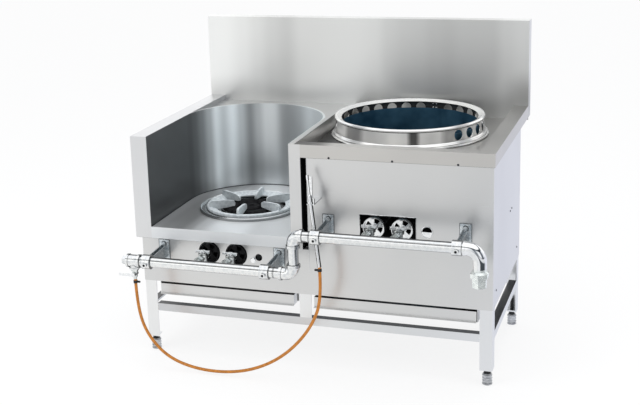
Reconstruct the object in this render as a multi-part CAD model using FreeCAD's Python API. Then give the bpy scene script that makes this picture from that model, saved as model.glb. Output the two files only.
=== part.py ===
import FreeCAD, Part
import math
import os
from FreeCAD import Vector

# Two-station wok range: a stock-pot bay on the left, a ring for a wok on the right.
# Millimetres. X runs right from the left edge, Y back from the front plane, Z up from the floor.
# place() moves the finished pieces so that the origin is the middle of the footprint.

# ---- sheet and clearances
SHEET = 1.5               # stainless sheet
SEAT = 0.3                # clearance under a loose piece
RUN = 0.05                # radial running clearance of a shaft
PANEL_IN = 4.0            # panels lie this far behind the hems

# ---- heights
RIM_Z = 750.0             # rims of both stations
GUARD_TOP = 1050.0        # top of the back guard
DECK_Z = 443.0            # burner deck of the bay
DECK_HEM = 39.0
HEM = 42.0                # hem of the wok table and of the rear overhang
PANEL_BOTTOM = 252.0
LEG_BOTTOM = 50.0
RAIL_Z = 145.0
TABLE_DROP = 48.0         # recess depth of the wok table
STRIP_DROP = 17.0         # rear strip below the rims

# ---- frame
ANGLE = 40.0              # leg angle
ANGLE_T = 3.0
RAIL = 26.0               # lower rail angle
BODY_DEPTH = 550.0        # cabinet below the rear overhang
CABINET_X = 20.0          # cabinet set in under the left wing
GUARD_T = 50.0            # thickness of the back guard

# ---- wok ring, which sets the table's size
RING_MOUTH_R = 231.0
RING_LIP = 23.0           # mouth to the crown's outside
RING_STEP = 11.0          # crown to the foot's outside
RING_STAND = 66.0         # crown above the table
RING_WALL = 2.5
HOLE_R = 17.0
HOLE_STEP = 12.0          # degrees between the ring's holes
HOLE_FIRST = -38.0
HOLE_COUNT = 21
SEAM_HOLE = 10            # the ring's seam takes this hole's place
LINER_GAP = 3.0           # liner outside the mouth
FIRE_GAP = 2.0            # table's hole outside the liner
SKIRT = 36.0              # liner above the table
TABLE_LEFT = 6.0          # table left, right, in front of and behind the ring's foot
TABLE_SIDE = 47.0
TABLE_FRONT = 125.0
RING_BACK = 5.0
RIM_FRONT = 40.0
RIM_RIGHT = 50.0

# ---- stock-pot bay and partition
WING_W = 57.0             # left wing
BAY_W = 492.0             # between the splash wall's straight sides
PARTITION_T = 18.0
PARTITION_W = 38.0        # its front flange
PARTITION_RIM = 451.0     # its rim ends here
SLOT_W = 19.0             # open slot beside the partition flange
WING_BEHIND = 36.0        # rear wall of the bay behind the cabinet
BAY_GAP = 5.0             # splash wall to that wall
LIP = 6.0                 # rolled lip along the half circle
BURNER_FORWARD = 42.0     # stock burner in front of the half circle's centre
PAN_R = 177.0
PAN_RIM = 23.0            # width of the pan's flat rim
PAN_LAP = 17.0            # rim on the deck round its hole
TRIVET_R = 150.0
TRIVET_RIM = 12.0
ARM_REACH = 94.0          # length of an arm
TRIVET_ARMS = 6
TRIVET_PHASE = 33.0       # degrees, first arm from +X
ARM_T = 8.0

# ---- burners and gas train
INNER_HEAD_R = 34.0
RING_BURNER_R = 88.0
RING_BURNER_W = 38.0
HEAD_H = 26.0
STOCK_AXES = (-42.0, 53.0)    # mixing tubes, from the stock burner's centre
WOK_AXES = (-16.0, 75.0)
GAS_DROP = 75.0           # lower manifold under the deck
GAS_RISE = 126.0          # upper manifold over the lower
PIPE_OUT = 130.0          # manifold in front of the hems
PIPE_R = 17.0
PIPE_BORE_R = 13.8
FITTING = 5.0             # fittings' bead outside the pipe
SADDLE_T = 6.5
SADDLE_W = 29.0
TEE_X = 53.0
RISER_IN = 7.0            # riser left of the slot's right edge
OUTLET_IN = 23.0          # gas inlet left of the right hem
OUTLET_BEND = 38.0
BRACKET_W = 38.0
BRACKET_H = 68.0
SHUTTER_R = 34.0
SHUTTER_GAP = 4.0         # round a shutter in its panel hole
COCK_Y = -52.0
LEVER_L = 50.0
LIGHTER_Y = -142.0
WINDOW_BELOW = 64.0       # burner window round the wok gas trains
WINDOW_ABOVE = 41.0
WINDOW_SIDE = 45.0
SIGHT = 78.0              # sight holes right of the outer trains
SIGHT_R = (12.0, 15.0)
FURNACE_UP = 46.0         # furnace floor over the upper manifold
HEAD_UP = 52.0            # wok burner's top over the furnace floor
FURNACE_HOLE_R = 150.0
FURNACE_GAP = 18.0        # rear housing round the furnace

# ---- feet, trays, lighter
FOOT_R = 16.0
FOOT_STEM_R = 6.0
TRAY_H = 35.0
TRAY_GAP = 7.0            # tray below the panels
TRAY_DEPTH = 480.0
TRAY_IN = 55.0            # trays from the outer legs' corners
TRAY_MID = 19.0            # left tray from the mid post
TRAY_POST = 10.0          # right tray from the mid post
HOSE_R = 5.0
NIPPLE = 8.0
TORCH_R = 6.5

# ---- derived
TABLE_Z = RIM_Z - TABLE_DROP
STRIP_Z = RIM_Z - STRIP_DROP
HEM_Z = RIM_Z - HEM
WING_BOTTOM = DECK_Z - DECK_HEM
RAIL_TOP = RAIL_Z + RAIL
RING_TOP_R = RING_MOUTH_R + RING_LIP
RING_FOOT_R = RING_TOP_R + RING_STEP
RING_TOP_Z = TABLE_Z + RING_STAND
LINER_R = RING_MOUTH_R + LINER_GAP
FIRE_HOLE_R = LINER_R + FIRE_GAP
SKIRT_TOP = TABLE_Z + SKIRT
BAY_LEFT = WING_W
BAY_RIGHT = BAY_LEFT + BAY_W
TABLE_X = BAY_RIGHT + PARTITION_T
WOK_X = TABLE_X + TABLE_LEFT + RING_FOOT_R
TABLE_RIGHT = WOK_X + RING_FOOT_R + TABLE_SIDE
WIDTH = TABLE_RIGHT + RIM_RIGHT
WOK_Y = RIM_FRONT + TABLE_FRONT + RING_FOOT_R
GUARD_Y = WOK_Y + RING_FOOT_R + RING_BACK
DEPTH = GUARD_Y + GUARD_T
BAY_R = 0.5 * BAY_W
WALL_R = BAY_R + SHEET
WING_REAR = BODY_DEPTH + WING_BEHIND
BAY_ARC_Y = WING_REAR - SHEET - BAY_GAP - WALL_R
STOCK_X = BAY_LEFT + BAY_R
STOCK_Y = BAY_ARC_Y - BURNER_FORWARD
PAN_STEP_R = PAN_R - PAN_RIM
DECK_HOLE_R = PAN_R - PAN_LAP
PAN_INNER_R = RING_BURNER_R + 12.0
CAB_RIGHT = WIDTH - PANEL_IN
LEG_X = (CABINET_X + SHEET, CAB_RIGHT - SHEET)
LEG_Y = (PANEL_IN + SHEET, BODY_DEPTH - SHEET)
MID_X = TABLE_X + 2.0
PARTITION_END = BAY_RIGHT + PARTITION_W
SLOT_END = PARTITION_END + SLOT_W
LOW_Z = DECK_Z - GAS_DROP
HIGH_Z = LOW_Z + GAS_RISE
LINER_BOTTOM = HIGH_Z + FURNACE_UP
STOCK_AXES_X = (STOCK_X + STOCK_AXES[0], STOCK_X + STOCK_AXES[1])
WOK_AXES_X = (WOK_X + WOK_AXES[0], WOK_X + WOK_AXES[1])
PIPE_Y = -PIPE_OUT
ELBOW_R = PIPE_R + FITTING
SADDLE_R = PIPE_R + SADDLE_T
RISER_X = SLOT_END - RISER_IN
OUTLET_X = WIDTH - OUTLET_IN
BRACKETS = ((TEE_X + 47.0, LOW_Z), (RISER_X - 94.0, LOW_Z), (RISER_X + 75.0, HIGH_Z), (OUTLET_X - 66.0, HIGH_Z))
PANEL_HOLE_R = SHUTTER_R + SHUTTER_GAP
SIGHT_HOLES = ((STOCK_AXES_X[1] + SIGHT, LOW_Z - 4.0), (WOK_AXES_X[1] + SIGHT, HIGH_Z - 1.0))
TRAY_TOP = PANEL_BOTTOM - TRAY_GAP
TRAY_Z = (TRAY_TOP - TRAY_H, TRAY_TOP)
LEFT_TRAY = (LEG_X[0] + TRAY_IN + 2.5, MID_X - TRAY_MID)
RIGHT_TRAY = (MID_X + ANGLE + TRAY_POST, LEG_X[1] - TRAY_IN + 5.5)
TORCH_LOW = Vector(SLOT_END + 67.0, PIPE_Y + 32.0, LOW_Z + 18.0)
TORCH_HIGH = Vector(SLOT_END + 30.0, PIPE_Y + 68.0, LOW_Z + 234.0)
TORCH_TIP = Vector(SLOT_END + 17.0, PIPE_Y + 88.0, LOW_Z + 296.0)
HOSE_TOP = Vector(TEE_X, PIPE_Y, LOW_Z - 62.0)
HOSE_MIDDLE = (
    (54.0, -130.0, 215.0), (80.0, -130.0, 120.0), (150.0, -131.0, 44.0), (255.0, -132.0, 12.0),
    (375.0, -132.5, 13.0), (480.0, -131.0, 43.0), (572.0, -128.0, 102.0), (648.0, -124.0, 192.0),
    (684.0, -115.0, 288.0),
)
X_AXIS = Vector(1, 0, 0)
Y_AXIS = Vector(0, 1, 0)
Z_AXIS = Vector(0, 0, 1)


def box(x0, x1, y0, y1, z0, z1):
    return Part.makeBox(x1 - x0, y1 - y0, z1 - z0, Vector(x0, y0, z0))


def cylinder(start, axis, radius, length):
    return Part.makeCylinder(radius, length, Vector(*start), axis)


def tube(start, axis, outer, inner, length):
    return cylinder(start, axis, outer, length).cut(cylinder(start, axis, inner, length))


def polygon(points):
    """Closed planar face through the points."""
    corners = [Vector(*p) for p in points]
    return Part.Face(Part.makePolygon(corners + [corners[0]]))


def revolve_z(profile, x, y):
    """Full turn of an (r, z) outline about the vertical through x, y."""
    face = polygon([(x + r, y, z) for r, z in profile])
    return face.revolve(Vector(x, y, 0), Z_AXIS, 360)


def revolve_y(profile, x, z):
    """Full turn of an (r, y) outline about the line along Y through x, z."""
    face = polygon([(x + r, y, z) for r, y in profile])
    return face.revolve(Vector(x, 0, z), Y_AXIS, 360)


def fuse(shapes):
    return shapes[0].multiFuse(shapes[1:]).removeSplitter() if len(shapes) > 1 else shapes[0]


def hexagon(start, axis, across_flats, length):
    """Hexagonal prism along a row axis."""
    radius = across_flats / math.sqrt(3.0)
    u, v = (Y_AXIS, Z_AXIS) if abs(axis.x) > 0.5 else (X_AXIS, Z_AXIS)
    if abs(axis.z) > 0.5:
        u, v = X_AXIS, Y_AXIS
    centre = Vector(*start)
    angles = [math.radians(60 * i + 30) for i in range(6)]
    corners = [centre + u * (radius * math.cos(a)) + v * (radius * math.sin(a)) for a in angles]
    return Part.Face(Part.makePolygon(corners + [corners[0]])).extrude(axis * length)


def rod(start, end, radius):
    return Part.makeCylinder(radius, (end - start).Length, start, end - start)


# ---- frame

def corner_angle(x, y, z0, z1, right, rear):
    """Leg angle whose outer corner is at x, y and whose flanges run inwards."""
    sx = -1 if right else 1
    sy = -1 if rear else 1
    corner = [(x, y), (x + sx * ANGLE, y), (x + sx * ANGLE, y + sy * ANGLE_T),
              (x + sx * ANGLE_T, y + sy * ANGLE_T), (x + sx * ANGLE_T, y + sy * ANGLE), (x, y + sy * ANGLE)]
    return polygon([(px, py, z0) for px, py in corner]).extrude(Vector(0, 0, z1 - z0))


FOOT_IN = 18.0            # foot axis in from the leg's corner
NUT_PLATE = 5.0


def foot_centre(right, rear):
    x = LEG_X[1] - FOOT_IN if right else LEG_X[0] + FOOT_IN
    y = LEG_Y[1] - FOOT_IN if rear else LEG_Y[0] + FOOT_IN
    return x, y


def leg(right, rear):
    """Leg angle with the tapped plate for its foot across the bottom."""
    top = RIM_Z - SHEET if right and not rear else (TABLE_Z - SHEET if right else DECK_Z - SHEET)
    x, y = LEG_X[int(right)], LEG_Y[int(rear)]
    angle = corner_angle(x, y, LEG_BOTTOM, top, right, rear)
    fx, fy = foot_centre(right, rear)
    reach = FOOT_IN - ANGLE_T
    x0, x1 = (fx - reach, fx + reach)
    y0, y1 = (fy - reach, fy + reach)
    plate = box(x0, x1, y0, y1, LEG_BOTTOM, LEG_BOTTOM + NUT_PLATE)
    hole = cylinder((fx, fy, LEG_BOTTOM - 1), Z_AXIS, FOOT_STEM_R + RUN, NUT_PLATE + 2)
    return fuse([angle, plate]).cut(hole)


FOOT_BODY_H = 38.0
FOOT_RIBS = 4


def foot(right, rear):
    """Screwed foot: ribbed body, lock nut and stem."""
    x, y = foot_centre(right, rear)
    rib = FOOT_BODY_H / (2 * FOOT_RIBS)
    profile = [(0, 0), (FOOT_R - 2, 0)]
    for i in range(FOOT_RIBS):
        z = 2 * i * rib
        profile += [(FOOT_R, z + 0.3 * rib), (FOOT_R, z + rib), (FOOT_R - 2.5, z + 1.3 * rib),
                    (FOOT_R - 2.5, z + 1.8 * rib)]
    profile += [(FOOT_R - 4, FOOT_BODY_H), (0, FOOT_BODY_H)]
    body = revolve_z(profile, x, y)
    nut_top = LEG_BOTTOM - SEAT
    nut = hexagon((x, y, FOOT_BODY_H), Z_AXIS, 19.0, nut_top - FOOT_BODY_H)
    stem = cylinder((x, y, FOOT_BODY_H - 1), Z_AXIS, FOOT_STEM_R, LEG_BOTTOM + 45 - FOOT_BODY_H)
    return fuse([body, nut, stem])


def mid_posts():
    """Front and rear posts between the two trays, standing on the lower rails."""
    front = corner_angle(MID_X, LEG_Y[0], RAIL_TOP, DECK_Z - SHEET - HEM, False, False)
    rear = corner_angle(MID_X, LEG_Y[1], RAIL_TOP, DECK_Z - SHEET - HEM, False, True)
    return Part.makeCompound([front, rear])


def rail_x(x0, x1, y, rear):
    """Rail along X: upright flange outside, level flange on top."""
    s = -1 if rear else 1
    outline = [(y, RAIL_Z), (y + s * ANGLE_T, RAIL_Z), (y + s * ANGLE_T, RAIL_TOP - ANGLE_T),
               (y + s * RAIL, RAIL_TOP - ANGLE_T), (y + s * RAIL, RAIL_TOP), (y, RAIL_TOP)]
    return polygon([(x0, py, pz) for py, pz in outline]).extrude(Vector(x1 - x0, 0, 0))


def rail_y(y0, y1, x, right):
    s = -1 if right else 1
    outline = [(x, RAIL_Z), (x + s * ANGLE_T, RAIL_Z), (x + s * ANGLE_T, RAIL_TOP - ANGLE_T),
               (x + s * RAIL, RAIL_TOP - ANGLE_T), (x + s * RAIL, RAIL_TOP), (x, RAIL_TOP)]
    return polygon([(px, y0, pz) for px, pz in outline]).extrude(Vector(0, y1 - y0, 0))


def lower_rails():
    x0, x1 = LEG_X[0] + ANGLE, LEG_X[1] - ANGLE
    y0, y1 = LEG_Y[0] + ANGLE, LEG_Y[1] - ANGLE
    return Part.makeCompound([
        rail_x(x0, x1, LEG_Y[0], False), rail_x(x0, x1, LEG_Y[1], True),
        rail_y(y0, y1, LEG_X[0], False), rail_y(y0, y1, LEG_X[1], True)])


RUNNER_T = 1.7
LEDGE = 17.0
TRAY_SIDE = 2.0           # tray to runner web


def runner(web_x, side, top_reach, y0, y1):
    """Folded runner: top flange, web beside the tray, ledge under the tray."""
    s = side
    bottom = TRAY_Z[0] - SEAT - RUNNER_T
    outline = [(web_x, bottom), (web_x + s * LEDGE, bottom), (web_x + s * LEDGE, bottom + RUNNER_T),
               (web_x, bottom + RUNNER_T), (web_x, PANEL_BOTTOM), (web_x - s * top_reach, PANEL_BOTTOM),
               (web_x - s * top_reach, PANEL_BOTTOM - RUNNER_T), (web_x - s * RUNNER_T, PANEL_BOTTOM - RUNNER_T),
               (web_x - s * RUNNER_T, bottom)]
    return polygon([(px, y0, pz) for px, pz in outline]).extrude(Vector(0, y1 - y0, 0))


def tray_runners():
    """Side runners between the legs, and the hat section between the mid posts."""
    y0, y1 = LEG_Y[0] + ANGLE_T, LEG_Y[1] - ANGLE_T
    left_web = LEFT_TRAY[0] - TRAY_SIDE
    right_web = RIGHT_TRAY[1] + TRAY_SIDE
    left = runner(left_web, 1, left_web - (LEG_X[0] + ANGLE) + 6, y0, y1)
    right = runner(right_web, -1, (LEG_X[1] - ANGLE) - right_web + 6, y0, y1)
    my0, my1 = LEG_Y[0] + ANGLE, LEG_Y[1] - ANGLE
    web_a = LEFT_TRAY[1] + TRAY_SIDE
    web_b = RIGHT_TRAY[0] - TRAY_SIDE
    half = 0.5 * (web_b - web_a)
    centre = fuse([runner(web_a, -1, half, my0, my1), runner(web_b, 1, half, my0, my1)])
    return Part.makeCompound([left, right, centre])


def drip_tray(x_range):
    """Open tray with a turned front lip for the fingers."""
    x0, x1 = x_range
    z0, z1 = TRAY_Z
    wall = 1.2
    y0, y1 = PANEL_IN, PANEL_IN + TRAY_DEPTH
    shell = box(x0, x1, y0, y1, z0, z1).cut(box(x0 + wall, x1 - wall, y0 + wall, y1 - wall, z0 + wall, z1 + 1))
    lip = box(x0, x1, y0 - 8, y0, z0, z0 + wall)
    return fuse([shell, lip])


# ---- cabinet

def side_panel_left():
    return box(CABINET_X, CABINET_X + SHEET, PANEL_IN, BODY_DEPTH, PANEL_BOTTOM, DECK_Z - SHEET)


def side_panel_right():
    return box(CAB_RIGHT - SHEET, CAB_RIGHT, PANEL_IN, BODY_DEPTH, PANEL_BOTTOM, RIM_Z - SHEET)


def rear_panel():
    """Rear panel with the housing that takes the back of the furnace."""
    y0, y1 = BODY_DEPTH - SHEET, BODY_DEPTH
    top = TABLE_Z - SHEET
    flat = box(LEG_X[0], MID_X, y0, y1, PANEL_BOTTOM, DECK_Z - SHEET).fuse(
        box(MID_X, LEG_X[1], y0, y1, PANEL_BOTTOM, top))
    reach = LINER_R + FURNACE_GAP
    x0, x1, rear, low = WOK_X - reach, WOK_X + reach, WOK_Y + reach, LINER_BOTTOM - FURNACE_GAP
    hollow = box(x0 + SHEET, x1 - SHEET, y0 - 1, rear - SHEET, low + SHEET, top + 1)
    return flat.fuse(box(x0, x1, y0, rear, low, top)).removeSplitter().cut(hollow)


def panel_hole(x, z, radius):
    return cylinder((x, PANEL_IN - 1, z), Y_AXIS, radius, SHEET + 2)


def front_panel_left():
    panel = box(LEG_X[0], MID_X, PANEL_IN, PANEL_IN + SHEET, PANEL_BOTTOM, DECK_Z - SHEET)
    holes = [panel_hole(x, LOW_Z, PANEL_HOLE_R) for x in STOCK_AXES_X] + [panel_hole(*SIGHT_HOLES[0], SIGHT_R[0])]
    return panel.cut(Part.makeCompound(holes))


def front_panel_right():
    """Panel with the burner window, the sight hole and the slot beside the partition."""
    y0, y1 = PANEL_IN, PANEL_IN + SHEET
    panel = box(MID_X, LEG_X[1], y0, y1, PANEL_BOTTOM, RIM_Z - SHEET)
    slot = box(MID_X - 1, SLOT_END, y0 - 1, y1 + 1, WING_BOTTOM, RIM_Z)
    window = box(WOK_AXES_X[0] - WINDOW_SIDE, WOK_AXES_X[1] + WINDOW_SIDE, y0 - 1, y1 + 1,
                 HIGH_Z - WINDOW_BELOW, HIGH_Z + WINDOW_ABOVE)
    return panel.cut(Part.makeCompound([slot, window, panel_hole(*SIGHT_HOLES[1], SIGHT_R[1])]))


# ---- stock-pot bay

def bay_outline(radius, y0, z, height):
    """Straight sides from y0 closed by a half circle, as a solid."""
    arc = Part.Arc(Vector(STOCK_X + radius, BAY_ARC_Y, z), Vector(STOCK_X, BAY_ARC_Y + radius, z),
                   Vector(STOCK_X - radius, BAY_ARC_Y, z)).toShape()
    ends = [Vector(STOCK_X - radius, BAY_ARC_Y, z), Vector(STOCK_X - radius, y0, z),
            Vector(STOCK_X + radius, y0, z), Vector(STOCK_X + radius, BAY_ARC_Y, z)]
    wire = Part.Wire([arc] + [Part.makeLine(a, b) for a, b in zip(ends, ends[1:])])
    return Part.Face(wire).extrude(Vector(0, 0, height))


def stock_deck():
    """Burner deck with its hole and front hem."""
    deck = bay_outline(WALL_R, SHEET, DECK_Z - SHEET, SHEET)
    hole = cylinder((STOCK_X, STOCK_Y, DECK_Z - 5), Z_AXIS, DECK_HOLE_R, 10)
    hem = box(BAY_LEFT, BAY_RIGHT, 0, SHEET, WING_BOTTOM, DECK_Z)
    return fuse([deck, hem]).cut(hole)


def splash_wall():
    """Wall round the bay, with a rolled lip along the half circle."""
    height = RIM_Z - DECK_Z
    wall = bay_outline(WALL_R, SHEET, DECK_Z, height).cut(bay_outline(BAY_R, SHEET - 1, DECK_Z - 1, height + 2))
    lip_z = RIM_Z - 3
    lip = tube((STOCK_X, BAY_ARC_Y, lip_z), Z_AXIS, WALL_R + LIP, WALL_R - 0.5, 3)
    lip = lip.common(box(STOCK_X - WALL_R, STOCK_X + WALL_R, BAY_ARC_Y, DEPTH, lip_z, RIM_Z))
    return fuse([wall, lip])


def left_wing():
    """Hollow cheek left of the bay with its front flange, rim, and the wall behind the bay."""
    inner = STOCK_X - WALL_R
    flange = box(0, BAY_LEFT, 0, SHEET, WING_BOTTOM, RIM_Z)
    rim = box(0, inner, SHEET, GUARD_Y, RIM_Z - SHEET, RIM_Z)
    outer = box(0, SHEET, SHEET, WING_REAR, WING_BOTTOM, RIM_Z - SHEET)
    band = box(0, SHEET, WING_REAR, GUARD_Y, HEM_Z, RIM_Z - SHEET)
    floor = box(SHEET, CABINET_X, SHEET, WING_REAR, WING_BOTTOM, WING_BOTTOM + SHEET)
    rear = box(SHEET, TABLE_X - SHEET, WING_REAR - SHEET, WING_REAR, WING_BOTTOM, STRIP_Z - SHEET)
    shelf = box(CABINET_X, TABLE_X - SHEET, BODY_DEPTH, WING_REAR, WING_BOTTOM, WING_BOTTOM + SHEET)
    inner_hem = box(inner - SHEET, inner, BAY_ARC_Y, GUARD_Y, STRIP_Z, RIM_Z - SHEET)
    inner_low = box(inner - SHEET, inner, BAY_ARC_Y, WING_REAR - SHEET, STRIP_Z - HEM, STRIP_Z)
    return fuse([flange, rim, outer, band, floor, rear, shelf, inner_hem, inner_low])


def rear_strip():
    """Sunk strip between the bay's half circle and the back guard."""
    inner = STOCK_X - WALL_R
    z0 = STRIP_Z - SHEET
    plate = box(inner, STOCK_X + WALL_R, BAY_ARC_Y, GUARD_Y, z0, STRIP_Z).fuse(
        box(inner, TABLE_X, PARTITION_RIM, GUARD_Y, z0, STRIP_Z))
    bore = cylinder((STOCK_X, BAY_ARC_Y, z0 - 1), Z_AXIS, WALL_R, SHEET + 2)
    return plate.cut(bore).removeSplitter()


def partition():
    """Wall between the stations: front flange, rim, inner wall and the return beside the slot."""
    outer = STOCK_X + WALL_R
    flange = box(BAY_RIGHT, PARTITION_END, 0, SHEET, WING_BOTTOM, RIM_Z)
    rim = box(outer, TABLE_X, SHEET, PARTITION_RIM, RIM_Z - SHEET, RIM_Z)
    wall = box(TABLE_X - SHEET, TABLE_X, SHEET, WING_REAR, DECK_Z, STRIP_Z - SHEET)
    wall_top = box(TABLE_X - SHEET, TABLE_X, SHEET, PARTITION_RIM, STRIP_Z - SHEET, RIM_Z - SHEET)
    slot_return = box(PARTITION_END - SHEET, PARTITION_END, SHEET, RIM_FRONT - SHEET, WING_BOTTOM, RIM_Z - SHEET)
    slot_back = box(PARTITION_END, SLOT_END, RIM_FRONT - 2 * SHEET, RIM_FRONT - SHEET, WING_BOTTOM,
                    RIM_Z - SHEET)
    return fuse([flange, rim, wall, wall_top, slot_return, slot_back])


def pan_ring():
    """Spill pan round the stock burner: flat rim on the deck, bead, dished floor, upturned inner edge."""
    z = DECK_Z + SEAT
    step = PAN_STEP_R
    inner = PAN_INNER_R
    profile = [
        (PAN_R, z), (PAN_R, z + 7), (PAN_R - 2, z + 9), (PAN_R - 4, z + 7), (PAN_R - 6, z + 3),
        (step + 3, z + 3), (step, z + 6), (step - 4, z + 6), (step - 8, z - 4), (inner + 4, z - 7),
        (inner + 2.5, z + 2), (inner, z + 2), (inner, z - 10), (step - 6, z - 7), (step - 3, z)]
    return revolve_z(profile, STOCK_X, STOCK_Y)


def trivet():
    """Cast trivet: a rim with an inner cone, and six upright arms with rounded ends."""
    low = DECK_Z + SEAT + 6 + SEAT
    rim_in = TRIVET_R - TRIVET_RIM
    cone_in = rim_in - 17
    rim = revolve_z([(TRIVET_R + 2, low), (TRIVET_R + 2, low + 7), (TRIVET_R, low + 9), (rim_in + 2, low + 9),
                     (rim_in - 1, low + 7), (cone_in, low), (cone_in, low - 4), (rim_in - 1, low + 3),
                     (rim_in + 1, low)], STOCK_X, STOCK_Y)
    r0, r1 = TRIVET_R - ARM_REACH, TRIVET_R - 3
    outline = [(r0 + 2, low + 4), (r0, low + 8), (r0, low + 16), (r0 + 3, low + 21), (r0 + 9, low + 24),
               (r0 + 30, low + 27), (r1 - 14, low + 29), (r1 - 7, low + 28), (r1 - 2, low + 24), (r1, low + 18),
               (r1, low + 4), (rim_in - 6, low + 2), (cone_in, low - 2)]
    arms = []
    for i in range(TRIVET_ARMS):
        face = polygon([(STOCK_X + r, STOCK_Y - ARM_T / 2, z) for r, z in outline])
        arm = face.extrude(Vector(0, ARM_T, 0))
        arm.rotate(Vector(STOCK_X, STOCK_Y, 0), Z_AXIS, TRIVET_PHASE + 360.0 * i / TRIVET_ARMS)
        arms.append(arm)
    return fuse([rim] + arms)


# ---- wok table

def wok_table():
    """Recessed table with the fire hole, rims, recess walls and outer hems."""
    z_top = RIM_Z - SHEET
    low = TABLE_Z - SHEET
    floor = box(TABLE_X, TABLE_RIGHT + SHEET, RIM_FRONT - SHEET, GUARD_Y, low, TABLE_Z)
    front_wall = box(TABLE_X, TABLE_RIGHT + SHEET, RIM_FRONT - SHEET, RIM_FRONT, TABLE_Z, z_top)
    left_wall = box(TABLE_X, TABLE_X + SHEET, RIM_FRONT, PARTITION_RIM, TABLE_Z, z_top)
    left_low = box(TABLE_X, TABLE_X + SHEET, PARTITION_RIM, GUARD_Y, TABLE_Z, STRIP_Z)
    right_wall = box(TABLE_RIGHT, TABLE_RIGHT + SHEET, RIM_FRONT, GUARD_Y, TABLE_Z, z_top)
    front_rim = box(TABLE_X, WIDTH, SHEET, RIM_FRONT, z_top, RIM_Z)
    right_rim = box(TABLE_RIGHT, WIDTH, RIM_FRONT, GUARD_Y, z_top, RIM_Z)
    front_hem = box(PARTITION_END, WIDTH, 0, SHEET, HEM_Z, RIM_Z)
    side_hem = box(WIDTH - SHEET, WIDTH, SHEET, GUARD_Y, HEM_Z, z_top)
    hole = cylinder((WOK_X, WOK_Y, low - 1), Z_AXIS, FIRE_HOLE_R, SHEET + 2)
    return fuse([floor, front_wall, left_wall, left_low, right_wall, front_rim, right_rim, front_hem,
                 side_hem]).cut(hole)


def back_guard():
    """Back guard: face, top and side returns, and the turned-in rear edge."""
    face = box(0, WIDTH, GUARD_Y, GUARD_Y + SHEET, TABLE_Z - SHEET, GUARD_TOP)
    top = box(0, WIDTH, GUARD_Y, DEPTH, GUARD_TOP - SHEET, GUARD_TOP)
    left = box(0, SHEET, GUARD_Y, DEPTH, HEM_Z, GUARD_TOP)
    right = box(WIDTH - SHEET, WIDTH, GUARD_Y, DEPTH, HEM_Z, GUARD_TOP)
    lip = 15.0
    rear = [box(0, WIDTH, DEPTH - SHEET, DEPTH, GUARD_TOP - lip, GUARD_TOP),
            box(0, lip, DEPTH - SHEET, DEPTH, HEM_Z, GUARD_TOP),
            box(WIDTH - lip, WIDTH, DEPTH - SHEET, DEPTH, HEM_Z, GUARD_TOP)]
    return fuse([face, top, left, right] + rear)


def wok_ring():
    """Spun ring: stepped foot, upright wall with round vents, and a lip that leads into the mouth."""
    z = TABLE_Z + SEAT
    t = RING_WALL
    foot, top, mouth, crown = RING_FOOT_R, RING_TOP_R, RING_MOUTH_R, RING_TOP_Z
    wall_low, wall_high = top - 1, top - 5
    outside = [(foot, z), (foot + 1.5, z + 2.5), (foot, z + 5), (foot - 3.5, z + 6), (foot - 4, z + 9),
               (foot - 6, z + 11.5), (wall_low + 2.5, z + 12.5), (wall_low, z + 15.5), (wall_high, crown - 12),
               (top - 1, crown - 8), (top, crown - 4), (top - 3, crown), (top - 8, crown), (mouth, crown - 7)]
    inside = [(mouth, crown - 7 - t), (top - 9, crown - t), (wall_high - t, crown - 10),
              (wall_low - t, z + 14), (wall_low - t, z)]
    ring = revolve_z(outside + inside, WOK_X, WOK_Y)
    mid_z = 0.5 * (z + 15.5 + crown - 12)
    vents = []
    for i in range(HOLE_COUNT):
        if i != SEAM_HOLE:
            angle = math.radians(HOLE_FIRST + HOLE_STEP * i)
            out = Vector(math.cos(angle), math.sin(angle), 0)
            start = Vector(WOK_X, WOK_Y, mid_z) + out * (wall_high - 20)
            vents.append(Part.makeCylinder(HOLE_R, 40, start, out))
    return ring.cut(Part.makeCompound(vents))


def furnace_liner():
    """Fire chamber under the wok ring, hung on the table by a collar; its top is the inner skirt."""
    collar_w = 12.0
    ledge_r = FURNACE_HOLE_R
    r0, r1 = LINER_R - SHEET, LINER_R
    profile = [(r0, SKIRT_TOP), (r1, SKIRT_TOP), (r1, TABLE_Z + SHEET), (r1 + collar_w, TABLE_Z + SHEET),
               (r1 + collar_w, TABLE_Z), (r1, TABLE_Z), (r1, LINER_BOTTOM), (ledge_r, LINER_BOTTOM),
               (ledge_r, LINER_BOTTOM + SHEET), (r0, LINER_BOTTOM + SHEET)]
    return revolve_z(profile, WOK_X, WOK_Y)


# ---- burners

VENTURI_R = 19.0
MOUTH_R = 33.0
MOUTH_Y = 12.0
WINDOW_ANGLE = 43.0
WINDOW_IN = 12.0
WINDOW_OUT = 27.0


def burner_top(low_z):
    """Height of the burner heads over a gas train at low_z."""
    return DECK_Z + 6 if low_z == LOW_Z else LINER_BOTTOM + HEAD_UP


def inner_burner(x_centre, y_centre, axis_x, low_z):
    """Small central head with a spur to its riser."""
    top = burner_top(low_z)
    head = revolve_z([(0, top - HEAD_H), (INNER_HEAD_R - 6, top - HEAD_H), (INNER_HEAD_R, top - HEAD_H + 8),
                      (INNER_HEAD_R, top - 5), (INNER_HEAD_R - 5, top), (12, top), (8, top - 4), (0, top - 4)],
                     x_centre, y_centre)
    neck = cylinder((x_centre, y_centre, top - HEAD_H - 12), Z_AXIS, 14, 14)
    x0, x1 = sorted((axis_x, x_centre))
    spur = box(x0 - 14, x1 + 14, y_centre - 14, y_centre + 14, top - HEAD_H - 24, top - HEAD_H - 10)
    return fuse([head, neck, spur])


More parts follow.
